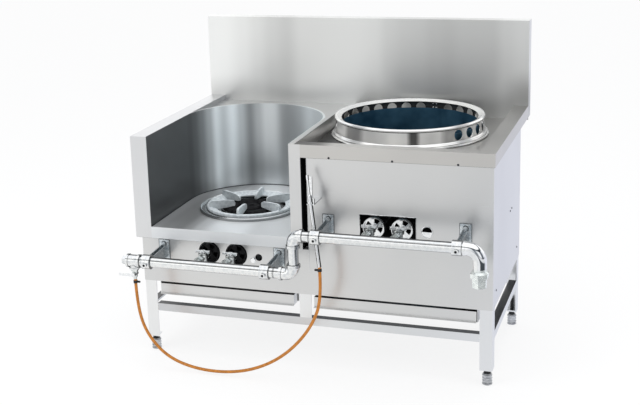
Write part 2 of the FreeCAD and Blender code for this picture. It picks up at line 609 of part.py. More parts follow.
def ring_burner(x_centre, y_centre, low_z):
    """Outer ring head with slots for the flames."""
    top = burner_top(low_z)
    r0, r1 = RING_BURNER_R - RING_BURNER_W, RING_BURNER_R
    body = revolve_z([(r0, top - HEAD_H + 6), (r0 + 4, top - HEAD_H), (r1 - 4, top - HEAD_H),
                      (r1, top - HEAD_H + 6), (r1, top - 6), (r1 - 8, top), (r0 + 8, top), (r0, top - 6)],
                     x_centre, y_centre)
    slots = []
    for i in range(12):
        slot = box(x_centre + r1 - 9, x_centre + r1 + 1, y_centre - 1.5, y_centre + 1.5, top - 9, top + 1)
        slot.rotate(Vector(x_centre, y_centre, 0), Z_AXIS, 30.0 * i)
        slots.append(slot)
    return body.cut(Part.makeCompound(slots))


def venturi(axis_x, y_end, low_z, top_z):
    """Mixing tube from the shutter plate back to its riser."""
    plate_t = 2.0
    bend_r = VENTURI_R + 3
    mouth = revolve_y([(0, MOUTH_Y), (MOUTH_R, MOUTH_Y), (MOUTH_R, MOUTH_Y + 18), (VENTURI_R - 3, MOUTH_Y + 50),
                       (VENTURI_R, MOUTH_Y + 90), (VENTURI_R, y_end - bend_r), (0, y_end - bend_r)], axis_x, low_z)
    hollow = revolve_y([(0, MOUTH_Y + plate_t), (MOUTH_R - 2, MOUTH_Y + plate_t), (MOUTH_R - 2, MOUTH_Y + 16),
                        (VENTURI_R - 6, MOUTH_Y + 45), (0, MOUTH_Y + 45)], axis_x, low_z)
    windows = shutter_windows(axis_x, low_z, MOUTH_Y - 1, plate_t + 2)
    disc = Part.Face(Part.Wire(Part.makeCircle(VENTURI_R, Vector(axis_x, y_end - bend_r, low_z), Y_AXIS)))
    knee = disc.revolve(Vector(axis_x, 0, low_z + bend_r) + Y_AXIS * (y_end - bend_r), X_AXIS, 90)
    riser = cylinder((axis_x, y_end, low_z + bend_r), Z_AXIS, VENTURI_R, top_z - low_z - bend_r)
    return fuse([mouth.cut(hollow).cut(windows), knee, riser])


def shutter_windows(axis_x, axis_z, y, depth):
    """Four sector windows between the hub and the rim; as much metal as window, so a turn shuts them."""
    start = Vector(axis_x, y, axis_z)
    windows = []
    for i in range(4):
        sector = Part.makeCylinder(WINDOW_OUT, depth, start, Y_AXIS, WINDOW_ANGLE)
        sector = sector.cut(Part.makeCylinder(WINDOW_IN, depth, start, Y_AXIS))
        sector.rotate(start, Y_AXIS, 90.0 * i)
        windows.append(sector)
    return Part.makeCompound(windows)


def gas_trains():
    """Axis, burner centre and height of the four gas trains."""
    stock = [(x, STOCK_X, STOCK_Y, LOW_Z) for x in STOCK_AXES_X]
    wok = [(x, WOK_X, WOK_Y, HIGH_Z) for x in WOK_AXES_X]
    return stock + wok


def venturi_tubes():
    tubes = []
    for i, (x, _, y_centre, z) in enumerate(gas_trains()):
        spur_drop = HEAD_H + 24 if i % 2 == 0 else HEAD_H
        tubes.append(venturi(x, y_centre, z, burner_top(z) - spur_drop))
    return Part.makeCompound(tubes)


NOZZLE_R = 6.5
SHUTTER_T = 1.5


def air_shutter(index):
    """Turning shutter cup on the nozzle, in front of the venturi's plate."""
    x, _, _, z = gas_trains()[index]
    back = MOUTH_Y - SEAT
    rim_y = back - 14.0
    disc = tube((x, back - SHUTTER_T, z), Y_AXIS, SHUTTER_R, NOZZLE_R + RUN, SHUTTER_T)
    rim = tube((x, rim_y, z), Y_AXIS, SHUTTER_R, SHUTTER_R - SHUTTER_T, back - rim_y)
    hub = tube((x, back - 10, z), Y_AXIS, NOZZLE_R + 4, NOZZLE_R + RUN, 10)
    tab = box(x - 4, x + 4, rim_y - 10, rim_y, z + SHUTTER_R - SHUTTER_T, z + SHUTTER_R)
    return fuse([disc, rim, hub, tab]).cut(shutter_windows(x, z, back - SHUTTER_T - 1, SHUTTER_T + 2))


def cock_body(x, z):
    """Branch, barrel with the plug housing across it, and the nozzle that carries the shutter."""
    start = PIPE_Y + math.sqrt(PIPE_R ** 2 - 11.0 ** 2)
    branch = cylinder((x, start, z), Y_AXIS, 11, -92 - start).cut(
        cylinder((x - 20, PIPE_Y, z), X_AXIS, PIPE_R + RUN, 40))
    nut = hexagon((x, -92, z), Y_AXIS, 27, 14)
    barrel = cylinder((x, -78, z), Y_AXIS, 11, 52)
    housing = cylinder((x, COCK_Y, z - 18), Z_AXIS, 14, 34)
    nose = hexagon((x, -28, z), Y_AXIS, 22, 12)
    nozzle = cylinder((x, -16.5, z), Y_AXIS, NOZZLE_R, MOUTH_Y + 16.5)
    stem_bore = cylinder((x, COCK_Y, z + 4), Z_AXIS, 5 + RUN, 20)
    return fuse([branch, nut, barrel, housing, nose, nozzle]).cut(stem_bore)


def cock_bodies():
    return Part.makeCompound([cock_body(x, z) for x, _, _, z in gas_trains()])


def cock_lever(index):
    """Bar handle on the plug's stem, lying across the pipe when shut."""
    x, _, _, z = gas_trains()[index]
    top = z + 16 + SEAT
    stem = cylinder((x, COCK_Y, z + 6), Z_AXIS, 5, top - z - 6)
    hub = cylinder((x, COCK_Y, top), Z_AXIS, 9, 8)
    half = LEVER_L / 2
    bar = box(x - half, x + half, COCK_Y - 4, COCK_Y + 4, top + 1, top + 8)
    bar = bar.makeFillet(2.5, [e for e in bar.Edges if abs(e.Vertexes[0].Z - e.Vertexes[1].Z) > 1])
    return fuse([stem, hub, bar])


# ---- gas manifold

def lower_pipe():
    x0 = TEE_X + ELBOW_R + 1
    return tube((x0, PIPE_Y, LOW_Z), X_AXIS, PIPE_R, PIPE_BORE_R, RISER_X - 46 - x0)


def upper_pipe():
    x0 = RISER_X + 33
    return tube((x0, PIPE_Y, HIGH_Z), X_AXIS, PIPE_R, PIPE_BORE_R, OUTLET_X - 48 - x0)


def bend(corner, to_a, to_b, leg_a, leg_b, radius, bend_r, bore):
    """Swept elbow round a corner: straight, quarter turn, straight."""
    a0 = corner + to_a * leg_a
    a1 = corner + to_a * bend_r
    b1 = corner + to_b * bend_r
    b0 = corner + to_b * leg_b
    centre = a1 + to_b * bend_r
    mid = centre + (corner - centre).normalize() * bend_r
    edges = [Part.Arc(a1, mid, b1).toShape()]
    if leg_a > bend_r:
        edges.insert(0, Part.makeLine(a0, a1))
    if leg_b > bend_r:
        edges.append(Part.makeLine(b1, b0))
    path = Part.Wire(edges)
    solids = []
    for r in (radius, bore):
        circle = Part.Wire(Part.makeCircle(r, a0, to_a))
        solids.append(path.makePipeShell([circle], True, False))
    return solids[0].cut(solids[1])


def band(start, axis, inner, outer, length):
    """Beaded collar at the end of a fitting."""
    return tube(start, axis, outer, inner, length)


def manifold_elbows():
    """The two malleable elbows at the riser."""
    low = Vector(RISER_X, PIPE_Y, LOW_Z)
    high = Vector(RISER_X, PIPE_Y, HIGH_Z)
    left, right, up, down = Vector(-1, 0, 0), X_AXIS, Z_AXIS, Vector(0, 0, -1)
    r, bore = ELBOW_R - 2.5, PIPE_BORE_R
    lower = fuse([
        bend(low, left, up, 46, 33, r, 27, bore),
        band((RISER_X - 46, PIPE_Y, LOW_Z), X_AXIS, r - 1, ELBOW_R, 9),
        band((RISER_X, PIPE_Y, LOW_Z + 24), Z_AXIS, r - 1, ELBOW_R, 9)])
    upper = fuse([
        bend(high, right, down, 33, 39, r, 27, bore),
        band((RISER_X + 24, PIPE_Y, HIGH_Z), X_AXIS, r - 1, ELBOW_R, 9),
        band((RISER_X, PIPE_Y, HIGH_Z - 39), Z_AXIS, r - 1, ELBOW_R, 9)])
    return Part.makeCompound([lower, upper])


def riser_pipe():
    return tube((RISER_X, PIPE_Y, LOW_Z + 33), Z_AXIS, PIPE_R, PIPE_BORE_R, HIGH_Z - 39 - LOW_Z - 33)


def end_tee():
    """Tee at the left end with its plug, feeding the lighter cock below."""
    centre = Vector(TEE_X, PIPE_Y, LOW_Z)
    run = cylinder((TEE_X - ELBOW_R - 1, PIPE_Y, LOW_Z), X_AXIS, ELBOW_R - 2, 2 * ELBOW_R + 2)
    run.rotate(centre, X_AXIS, 50)
    drop = cylinder((TEE_X, PIPE_Y, LOW_Z - 26), Z_AXIS, 15, 26)
    drop.rotate(centre, Z_AXIS, 35)
    rings = [cylinder((TEE_X - ELBOW_R - 1, PIPE_Y, LOW_Z), X_AXIS, ELBOW_R, 7),
             cylinder((TEE_X + ELBOW_R - 6, PIPE_Y, LOW_Z), X_AXIS, ELBOW_R, 7),
             cylinder((TEE_X, PIPE_Y, LOW_Z - 26), Z_AXIS, 17, 5)]
    plug = hexagon((TEE_X - ELBOW_R - 17, PIPE_Y, LOW_Z), X_AXIS, 24, 17)
    return fuse([run, drop, plug] + rings)


def lighter_cock():
    """Small cock under the tee, ending in the hose nipple."""
    top = LOW_Z - 26
    nut = hexagon((TEE_X, PIPE_Y, top - 8), Z_AXIS, 22, 8)
    barrel = cylinder((TEE_X, PIPE_Y, top - 28), Z_AXIS, 8.5, 20)
    nipple = cylinder((TEE_X, PIPE_Y, top - 28 - NIPPLE), Z_AXIS, 5.5, NIPPLE)
    housing = cylinder((TEE_X, LIGHTER_Y, top - 18), Y_AXIS, 8, PIPE_Y + 10 - LIGHTER_Y)
    bore = cylinder((TEE_X, LIGHTER_Y - 1, top - 18), Y_AXIS, 3 + RUN, 10)
    return fuse([nut, barrel, nipple, housing]).cut(bore)


def lighter_lever():
    """Small lever in front of the lighter cock, pointing left when shut and down when open."""
    z = LOW_Z - 44
    y = LIGHTER_Y - SEAT
    stem = cylinder((TEE_X, y - 2, z), Y_AXIS, 3, 10)
    hub = cylinder((TEE_X, y - 5, z), Y_AXIS, 7, 5)
    arm = box(TEE_X - 46, TEE_X, y - 4.5, y - 1.5, z - 5, z + 5)
    knob = cylinder((TEE_X - 46, y - 4.5, z), Y_AXIS, 5, 3)
    return fuse([stem, hub, arm, knob])


def outlet_elbow():
    """Chromed long-radius elbow down to the gas inlet, with its lock ring and collar."""
    corner = Vector(OUTLET_X, PIPE_Y, HIGH_Z)
    r = PIPE_R + 4.5
    elbow = bend(corner, Vector(-1, 0, 0), Vector(0, 0, -1), 41, 58, r, OUTLET_BEND, PIPE_BORE_R)
    lock = tube((OUTLET_X - 48, PIPE_Y, HIGH_Z), X_AXIS, PIPE_R + 5.5, PIPE_BORE_R, 7)
    return fuse([elbow, lock])


INLET_R = 13.0
INLET_L = 22.0


def inlet_union():
    """Collar and big union nut under the elbow."""
    z = HIGH_Z - 58
    collar = tube((OUTLET_X, PIPE_Y, z - 8), Z_AXIS, 20, PIPE_BORE_R, 8)
    flare = revolve_z([(PIPE_BORE_R, z - 14), (26, z - 14), (20, z - 8), (PIPE_BORE_R, z - 8)], OUTLET_X, PIPE_Y)
    nut = hexagon((OUTLET_X, PIPE_Y, z - 28), Z_AXIS, 50, 14).cut(
        cylinder((OUTLET_X, PIPE_Y, z - 29), Z_AXIS, PIPE_BORE_R, 16))
    return fuse([collar, flare, nut])


def inlet_socket():
    """Hexagon socket, open downwards: the gas inlet."""
    top = HIGH_Z - 58 - 28
    body = hexagon((OUTLET_X, PIPE_Y, top - 30), Z_AXIS, 40, 30)
    bore = cylinder((OUTLET_X, PIPE_Y, top - 31), Z_AXIS, INLET_R, INLET_L + 1)
    return body.cut(bore)


def pipe_bracket(x, z):
    """Pressed bracket: wall plate, two tapered webs and the pad that takes the saddle."""
    t = 2.5
    half_h = BRACKET_H / 2
    plate = box(x - BRACKET_W / 2, x + BRACKET_W / 2, PANEL_IN - t, PANEL_IN, z - half_h, z + half_h)
    bolt = cylinder((x, PANEL_IN - t - 1, z + 19), Y_AXIS, 4.3, t + 2)
    pad_y = PIPE_Y + SADDLE_R
    webs = []
    for side in (-9.0, 9.0 - t):
        outline = [(pad_y, z - 12), (pad_y, z + 10), (PANEL_IN - t, z + 15), (PANEL_IN - t, z - 28)]
        webs.append(polygon([(x + side, y, pz) for y, pz in outline]).extrude(Vector(t, 0, 0)))
    pad = box(x - 11, x + 11, pad_y, pad_y + t, z - 12, z + 10)
    return fuse([plate.cut(bolt), pad] + webs)


def pipe_brackets():
    return Part.makeCompound([pipe_bracket(x, z) for x, z in BRACKETS])


def saddle(x, z):
    """Clamp round the pipe, flat where it meets the bracket, with its bolt boss in front."""
    ring = cylinder((x - SADDLE_W / 2, PIPE_Y, z), X_AXIS, SADDLE_R, SADDLE_W)
    ears = box(x - 10, x + 10, PIPE_Y, PIPE_Y + SADDLE_R, z - 11, z + 9)
    boss = cylinder((x, PIPE_Y - SADDLE_R - 5, z - 4), Y_AXIS, 8.5, 12)
    bore = cylinder((x - SADDLE_W, PIPE_Y, z), X_AXIS, PIPE_R + RUN, 2 * SADDLE_W)
    socket = cylinder((x, PIPE_Y - SADDLE_R - 6, z - 4), Y_AXIS, 4.2, 8)
    return fuse([ring, ears, boss]).cut(bore).cut(socket)


def saddle_clamps():
    return Part.makeCompound([saddle(x, z) for x, z in BRACKETS])


def fixing_bolts():
    """Hexagon bolts that hold the brackets to the panels."""
    bolts = []
    for x, z in BRACKETS:
        face = PANEL_IN - 2.5
        bolts.append(fuse([hexagon((x, face - 5.3, z + 19), Y_AXIS, 13, 5.3),
                           cylinder((x, face - 1, z + 19), Y_AXIS, 4, 1 + 2.5)]))
    return Part.makeCompound(bolts)


# ---- lighter

def lighter_torch():
    """Hand lighter: handle tube, collar that rests on the hook, thin burner tube and tip."""
    handle = rod(TORCH_LOW, TORCH_HIGH, TORCH_R)
    neck = rod(TORCH_HIGH, TORCH_TIP, 3.2)
    knuckle = Part.makeSphere(TORCH_R, TORCH_HIGH)
    along = (TORCH_TIP - TORCH_HIGH).normalize()
    tip = rod(TORCH_TIP - along * 16, TORCH_TIP, 4.5)
    cut = box(0, WIDTH, -DEPTH, 0, HOOK_Z + 3 + SEAT, HOOK_Z + 9)
    collar = rod(TORCH_AT_HOOK - TORCH_AXIS * 12, TORCH_AT_HOOK + TORCH_AXIS * 20, TORCH_R + 3.5).common(cut)
    return fuse([handle, knuckle, neck, tip, collar])


HOOK_Z = LOW_Z + 210.0
TORCH_AXIS = (TORCH_HIGH - TORCH_LOW).normalize()
TORCH_AT_HOOK = TORCH_LOW + TORCH_AXIS * ((HOOK_Z - TORCH_LOW.z) / TORCH_AXIS.z)


def torch_hook():
    """Flat hook for the lighter: a strip on the panel, a forked arm and a turned-up tip."""
    x, y = TORCH_AT_HOOK.x, TORCH_AT_HOOK.y
    half = TORCH_R + 4
    strip = box(x - half - 16, x - half - 6, PANEL_IN - 2.5, PANEL_IN, HOOK_Z, HOOK_Z + 70)
    foot_of_arm = box(x - half - 16, x + half, PANEL_IN - 2.5 - 12, PANEL_IN, HOOK_Z, HOOK_Z + 3)
    arm = box(x - half, x + half + 3, y - 8, PANEL_IN - 2.5, HOOK_Z, HOOK_Z + 3)
    tip = box(x + half, x + half + 3, y - 8, y + 2, HOOK_Z, HOOK_Z + 20)
    slot = box(x - TORCH_R - 1, x + TORCH_R + 1, y - 12, y, HOOK_Z - 1, HOOK_Z + 4)
    eye = cylinder((x, y, HOOK_Z - 1), Z_AXIS, TORCH_R + 1.2, 5)
    return fuse([strip, foot_of_arm, arm.cut(fuse([slot, eye])), tip])


def hose_points():
    return [HOSE_TOP] + [Vector(*p) for p in HOSE_MIDDLE] + [TORCH_LOW]


def arc_corner(before, corner, after):
    """Tangent points and middle of the largest arc that a route corner allows."""
    d0, d1 = before - corner, after - corner
    turn = math.pi - d0.getAngle(d1)
    radius = 0.45 * min(d0.Length, d1.Length) / math.tan(turn / 2)
    reach = radius * math.tan(turn / 2)
    a, b = corner + d0.normalize() * reach, corner + d1.normalize() * reach
    bisector = (d0 + d1).normalize()
    middle = corner + bisector * (radius / math.cos(turn / 2) - radius)
    return a, middle, b


def lighter_hose():
    """Hose as straight runs joined by tangent arcs along its route."""
    points = hose_points()
    edges = []
    last = points[0]
    for before, corner, after in zip(points, points[1:], points[2:]):
        a, middle, b = arc_corner(before, corner, after)
        edges += [Part.makeLine(last, a), Part.Arc(a, middle, b).toShape()]
        last = b
    edges.append(Part.makeLine(last, points[-1]))
    path = Part.Wire(edges)
    circle = Part.Wire(Part.makeCircle(HOSE_R, points[0], points[1] - points[0]))
    hose = path.makePipeShell([circle], True, False)
    print("lighter hose radius %.1f length %.1f, volume over section times length %.4f"
          % (HOSE_R, path.Length, hose.Volume / (math.pi * HOSE_R ** 2 * path.Length)))
    return hose


def hose_clips():
    """Two clips round the hose ends, each with its screw housing."""
    points = hose_points()
    clips = []
    for start, toward, side in ((points[0], points[1], X_AXIS), (points[-1], points[-2], Vector(-1, 0, 0))):
        along = (toward - start).normalize()
        low = start + along * 5
        ring = Part.makeCylinder(HOSE_R + 2, 9, low, along)
        lug = rod(start + along * 9.5, start + along * 9.5 + side * 16, 3.5)
        bore = Part.makeCylinder(HOSE_R + RUN, 40, start - along * 5, along)
        clips.append(fuse([ring, lug]).cut(bore))
    return Part.makeCompound(clips)


def stock_burner_inner():
    return inner_burner(STOCK_X, STOCK_Y, STOCK_AXES_X[0], LOW_Z)


def stock_burner_outer():
    return ring_burner(STOCK_X, STOCK_Y, LOW_Z)


def wok_burner_inner():
    return inner_burner(WOK_X, WOK_Y, WOK_AXES_X[0], HIGH_Z)


def wok_burner_outer():
    return ring_burner(WOK_X, WOK_Y, HIGH_Z)


CORNERS = {"front_left": (False, False), "front_right": (True, False), "rear_left": (False, True),
           "rear_right": (True, True)}
TRAINS = ("stock_inner", "stock_outer", "wok_inner", "wok_outer")
CORD_NODES = ("lighter_hose", "hose_clips")


def all_parts():
    parts = {}
    for name, (right, rear) in CORNERS.items():
        parts["leg_" + name] = leg(right, rear)
        parts["foot_" + name] = foot(right, rear)
    for index, name in enumerate(TRAINS):
        parts["air_shutter_" + name] = air_shutter(index)
        parts["cock_lever_" + name] = cock_lever(index)
    parts["drip_tray_left"] = drip_tray(LEFT_TRAY)
    parts["drip_tray_right"] = drip_tray(RIGHT_TRAY)
    for make in (mid_posts, lower_rails, tray_runners, side_panel_left, side_panel_right, rear_panel,
                 front_panel_left, front_panel_right, stock_deck, splash_wall, left_wing, rear_strip, partition,
                 pan_ring, trivet, wok_table, back_guard, wok_ring, furnace_liner, stock_burner_inner,
                 stock_burner_outer, wok_burner_inner, wok_burner_outer, venturi_tubes, cock_bodies, lower_pipe,
                 upper_pipe, manifold_elbows, riser_pipe, end_tee, lighter_cock, lighter_lever, outlet_elbow,
                 inlet_union, inlet_socket, pipe_brackets, saddle_clamps, fixing_bolts, lighter_torch, torch_hook,
                 lighter_hose, hose_clips):
        parts[make.__name__] = make()
    return parts


def main():
    os.makedirs("parts", exist_ok=True)
    parts = all_parts()
    solid = [shape.BoundBox for name, shape in parts.items() if name not in CORD_NODES]
    middle_x = 0.5 * (min(b.XMin for b in solid) + max(b.XMax for b in solid))
    middle_y = 0.5 * (min(b.YMin for b in solid) + max(b.YMax for b in solid))
    shift = Vector(-middle_x, -middle_y, 0)
    for name, shape in parts.items():
        moved = shape.copy()
        moved.translate(shift)
        if not moved.isValid() or not moved.Solids:
            raise ValueError("bad shape: " + name)
        moved.exportStep("parts/" + name + ".step")
    print("nodes", len(parts), "shift %.3f %.3f" % (shift.x, shift.y))


main()
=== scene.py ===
"""Dressed model of a freestanding two-station gas wok range.

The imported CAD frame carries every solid. This script adds the finish: procedural metals, the rubber hose, the
screws, rivets, weld beads, burner ports and the cocks' details, then the camera, the light and the floor.
Lengths are millimetres from the cabinet's left front edge, and local() turns them into metres of the frame.
"""

import logging
import math
from dataclasses import dataclass, field
from enum import Enum
from typing import Dict, List, Optional, Sequence, Tuple, Union

import bmesh
import bpy
from mathutils import Matrix, Vector


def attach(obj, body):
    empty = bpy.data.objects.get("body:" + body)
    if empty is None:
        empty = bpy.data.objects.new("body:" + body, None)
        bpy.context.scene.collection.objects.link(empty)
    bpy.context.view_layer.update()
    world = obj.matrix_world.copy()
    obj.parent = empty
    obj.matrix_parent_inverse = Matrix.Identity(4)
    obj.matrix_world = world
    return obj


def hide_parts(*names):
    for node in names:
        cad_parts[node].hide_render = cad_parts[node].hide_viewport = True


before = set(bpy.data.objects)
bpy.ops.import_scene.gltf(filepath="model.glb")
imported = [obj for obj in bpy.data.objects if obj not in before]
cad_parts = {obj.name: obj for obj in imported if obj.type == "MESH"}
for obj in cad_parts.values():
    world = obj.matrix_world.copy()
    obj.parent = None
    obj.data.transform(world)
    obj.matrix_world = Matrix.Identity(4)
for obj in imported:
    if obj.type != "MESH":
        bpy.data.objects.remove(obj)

LOG = logging.getLogger("wok_range")
Point = Tuple[float, float, float]
Colour = Tuple[float, float, float]
Profile = Sequence[Tuple[float, float]]
Inputs = Dict[Union[str, int], object]
Tones = Sequence[Tuple[float, ...]]
Materials = Dict[str, bpy.types.Material]
Node = bpy.types.Node
Socket = bpy.types.NodeSocket
Tree = bpy.types.NodeTree

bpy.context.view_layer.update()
SHIFT = Vector((-0.601701, -0.295566, 0.0))
MM = 0.001
MAIN_BODY = "range_body"


def local(x: float, y: float, z: float) -> Vector:
    """Turn millimetres right, back and up from the cabinet's left front edge into metres."""
    return Vector((x, y, z)) * MM + SHIFT


def circle(angle: float, radius: float) -> Vector:
    """Return the level point at an angle in radians and a radius."""
    return Vector((radius * math.cos(angle), radius * math.sin(angle), 0))


def facing(direction: Vector) -> Matrix:
    """Return the turn that takes +Z onto a direction."""
    return direction.to_track_quat("Z", "X").to_matrix().to_4x4()


class Axis(Enum):
    """Directions of turned forms and tones, with the turn that takes +Z onto them."""

    X = Matrix.Rotation(math.radians(90), 4, "Y")
    FRONT = Matrix.Rotation(math.radians(90), 4, "X")
    Z = Matrix.Identity(4)


class Effect(Enum):
    """Shared shader effects, named by the method that builds each."""

    GRAIN = "grain"
    PITTED = "pitted"
    RINGS = "rings"
    # painted shade and dark reflection by the way a face looks
    FACING = "facing"


# ---- node helpers


def wire(node: Node, inputs: Inputs) -> None:
    """Link or set a node's inputs.

    Args:
        node: the node.
        inputs: a socket or a value for each named or numbered input.
    """
    for key, value in inputs.items():
        if isinstance(value, Socket):
            node.id_data.links.new(value, node.inputs[key])
        else:
            node.inputs[key].default_value = value


def add(tree: Tree, kind: str, inputs: Optional[Inputs] = None, **settings: object) -> Node:
    """Add a shader node.

    Args:
        tree: where it goes.
        kind: its type, without the leading ShaderNode.
        inputs: what its inputs are linked or set to.
        settings: its own settings, such as the operation.

    Returns:
        The node.
    """
    node = tree.nodes.new("ShaderNode" + kind)
    for key, value in settings.items():
        setattr(node, key, value)
    wire(node, inputs or {})
    return node


def multiply(tree: Tree, colour: Socket, tone: Socket, share: Union[float, Socket] = 1.0) -> Socket:
    """Return a colour multiplied by a tone or a second colour, as far as the share goes."""
    mix = add(tree, "Mix", {"Factor": share, "A": colour, "B": tone}, data_type="RGBA", blend_type="MULTIPLY")
    return mix.outputs["Result"]


def either(tree: Tree, share: Union[float, Socket], first: Node, second: Node) -> Node:
    """Return a mix of two shaders: the first where the share is 0, the second where it is 1."""
    return add(tree, "MixShader", {0: share, 1: first.outputs[0], 2: second.outputs[0]})


def tone_ramp(tree: Tree, value: Socket, tones: Tones) -> Socket:
    """Turn a length or an angle into a colour.

    Args:
        tree: the tree to add to.
        value: the length or angle.
        tones: place, red, green and blue of each stop.

    Returns:
        The colour.
    """
    low, high = tones[0][0], tones[-1][0]
    share = add(tree, "MapRange", {"From Min": low, "From Max": high, "Value": value})
    bands = add(tree, "ValToRGB")
    stops = bands.color_ramp
    stops.interpolation = "EASE"
    while len(stops.elements) < len(tones):
        stops.elements.new(0.5)
    for stop, (place, *tone) in zip(stops.elements, tones):
        stop.position = (place - low) / (high - low)
        stop.color = (*tone, 1.0)
    wire(bands, {"Fac": share.outputs["Result"]})
    return bands.outputs["Color"]


# ---- shared effects


class GroupLibrary:
    """Shared procedural effects, each made once as a node group."""

    NONE = (0.0, 0.0, 0.0)
    WHITE = (1.0, 1.0, 1.0, 1.0)
    MASKS = {"Fac": 0.0, "Height": 0.0}

    def __init__(self) -> None:
        """Start without a group."""
        self.groups: Dict[Effect, Tree] = {}

    def place(self, tree: Tree, effect: Effect, inputs: Inputs) -> Node:
        """Place an effect in a material, and make its group the first time.

        Args:
            tree: the material's tree.
            effect: the effect.
            inputs: what the group's inputs are linked or set to.

        Returns:
            The group's node.
        """
        if effect not in self.groups:
            self.groups[effect] = getattr(self, effect.value)()
        node = tree.nodes.new("ShaderNodeGroup")
        node.node_tree = self.groups[effect]
        wire(node, inputs)
        return node

    @staticmethod
    def start(name: str, inputs: Dict[str, object], outputs: Dict[str, object]) -> Tuple[Tree, Node, Node]:
        """Open a group. The kind of its sockets follows from their default values.

        Args:
            name: name of the group.
            inputs: inputs and their default values: numbers, vectors or colours.
            outputs: outputs, in the same way.

        Returns:
            The tree, its input node and its output node.
        """
        tree = bpy.data.node_groups.new(name, "ShaderNodeTree")
        for side, sockets in (("INPUT", inputs), ("OUTPUT", outputs)):
            for label, value in sockets.items():
                kind = "Float" if isinstance(value, float) else {3: "Vector", 4: "Color"}[len(value)]
                socket = tree.interface.new_socket(label, in_out=side, socket_type="NodeSocket" + kind)
                socket.default_value = value
        return tree, tree.nodes.new("NodeGroupInput"), tree.nodes.new("NodeGroupOutput")

    def grain(self) -> Tree:
        """Brushed grain: fine lines drawn out along X, over a slow change along the sheet.

        Returns:
            The group. Fac is the slow change, Height the lines.
        """
        inputs = {"Vector": self.NONE, "Stretch": 60.0, "Scale": 900.0}
        tree, inp, out = self.start("Grain", inputs, self.MASKS)
        vector = inp.outputs["Vector"]
        divide = add(tree, "Math", {0: 1.0, 1: inp.outputs["Stretch"]}, operation="DIVIDE")
        squeeze = add(tree, "CombineXYZ", {0: divide.outputs[0], 1: 1.0, 2: 1.0})
        stretched = add(tree, "VectorMath", {0: vector, 1: squeeze.outputs[0]}, operation="MULTIPLY")
        fine = {"Vector": stretched.outputs[0], "Scale": inp.outputs["Scale"], "Detail": 3.0, "Roughness": 0.7}
        lines = add(tree, "TexNoise", fine)
        slow = add(tree, "TexNoise", {"Vector": vector, "Scale": 2.2, "Detail": 2.0})
        wire(out, {"Fac": slow.outputs["Fac"], "Height": lines.outputs["Fac"]})
        return tree

    def pitted(self) -> Tree:
        """Cast or galvanised skin: rounded pits over slow mottling.

        Returns:
            The group. Fac is the mottling, Height the pits.
        """
        tree, inp, out = self.start("Pitted", {"Vector": self.NONE, "Scale": 300.0}, self.MASKS)
        vector = inp.outputs["Vector"]
        pits = add(tree, "TexNoise", {"Vector": vector, "Scale": inp.outputs["Scale"], "Detail": 5.0})
        patches = add(tree, "TexVoronoi", {"Vector": vector, "Scale": 90.0})
        wire(out, {"Fac": patches.outputs["Distance"], "Height": pits.outputs["Fac"]})
        return tree

    def rings(self) -> Tree:
        """Fine lathe rings about the vertical through the group's vector.

        Returns:
            The group. Fac is slow mottling, Height the rings.
        """
        tree, inp, out = self.start("Rings", {"Vector": self.NONE, "Scale": 700.0}, self.MASKS)
        vector = inp.outputs["Vector"]
        wave = add(tree, "TexWave", {"Vector": vector, "Scale": inp.outputs["Scale"], "Distortion": 1.5,
                                     "Detail": 2.0}, wave_type="RINGS", rings_direction="Z")
        slow = add(tree, "TexNoise", {"Vector": vector, "Scale": 14.0})
        wire(out, {"Fac": slow.outputs["Fac"], "Height": wave.outputs["Fac"]})
        return tree

    def facing(self) -> Tree:
        """Painted shade and dark reflection on the faces that look one way.

        Returns:
            The group. Colour falls to Tone where the Normal's share of the Direction goes from Start to End.
        """
        inputs = {"Colour": self.WHITE, "Normal": self.NONE, "Direction": self.NONE, "Start": 0.0, "End": 1.0,
                  "Tone": 1.0}
        tree, inp, out = self.start("Facing", inputs, {"Colour": self.WHITE})
        colour, normal, direction, start, end, tone = (inp.outputs[label] for label in inputs)
        along = add(tree, "VectorMath", {0: normal, 1: direction}, operation="DOT_PRODUCT")
        share = add(tree, "MapRange", {"Value": along.outputs["Value"], "From Min": start, "From Max": end,
                                       "To Min": 1.0, "To Max": tone})
        wire(out, {"Colour": multiply(tree, colour, share.outputs["Result"])})
        return tree


# ---- finishes


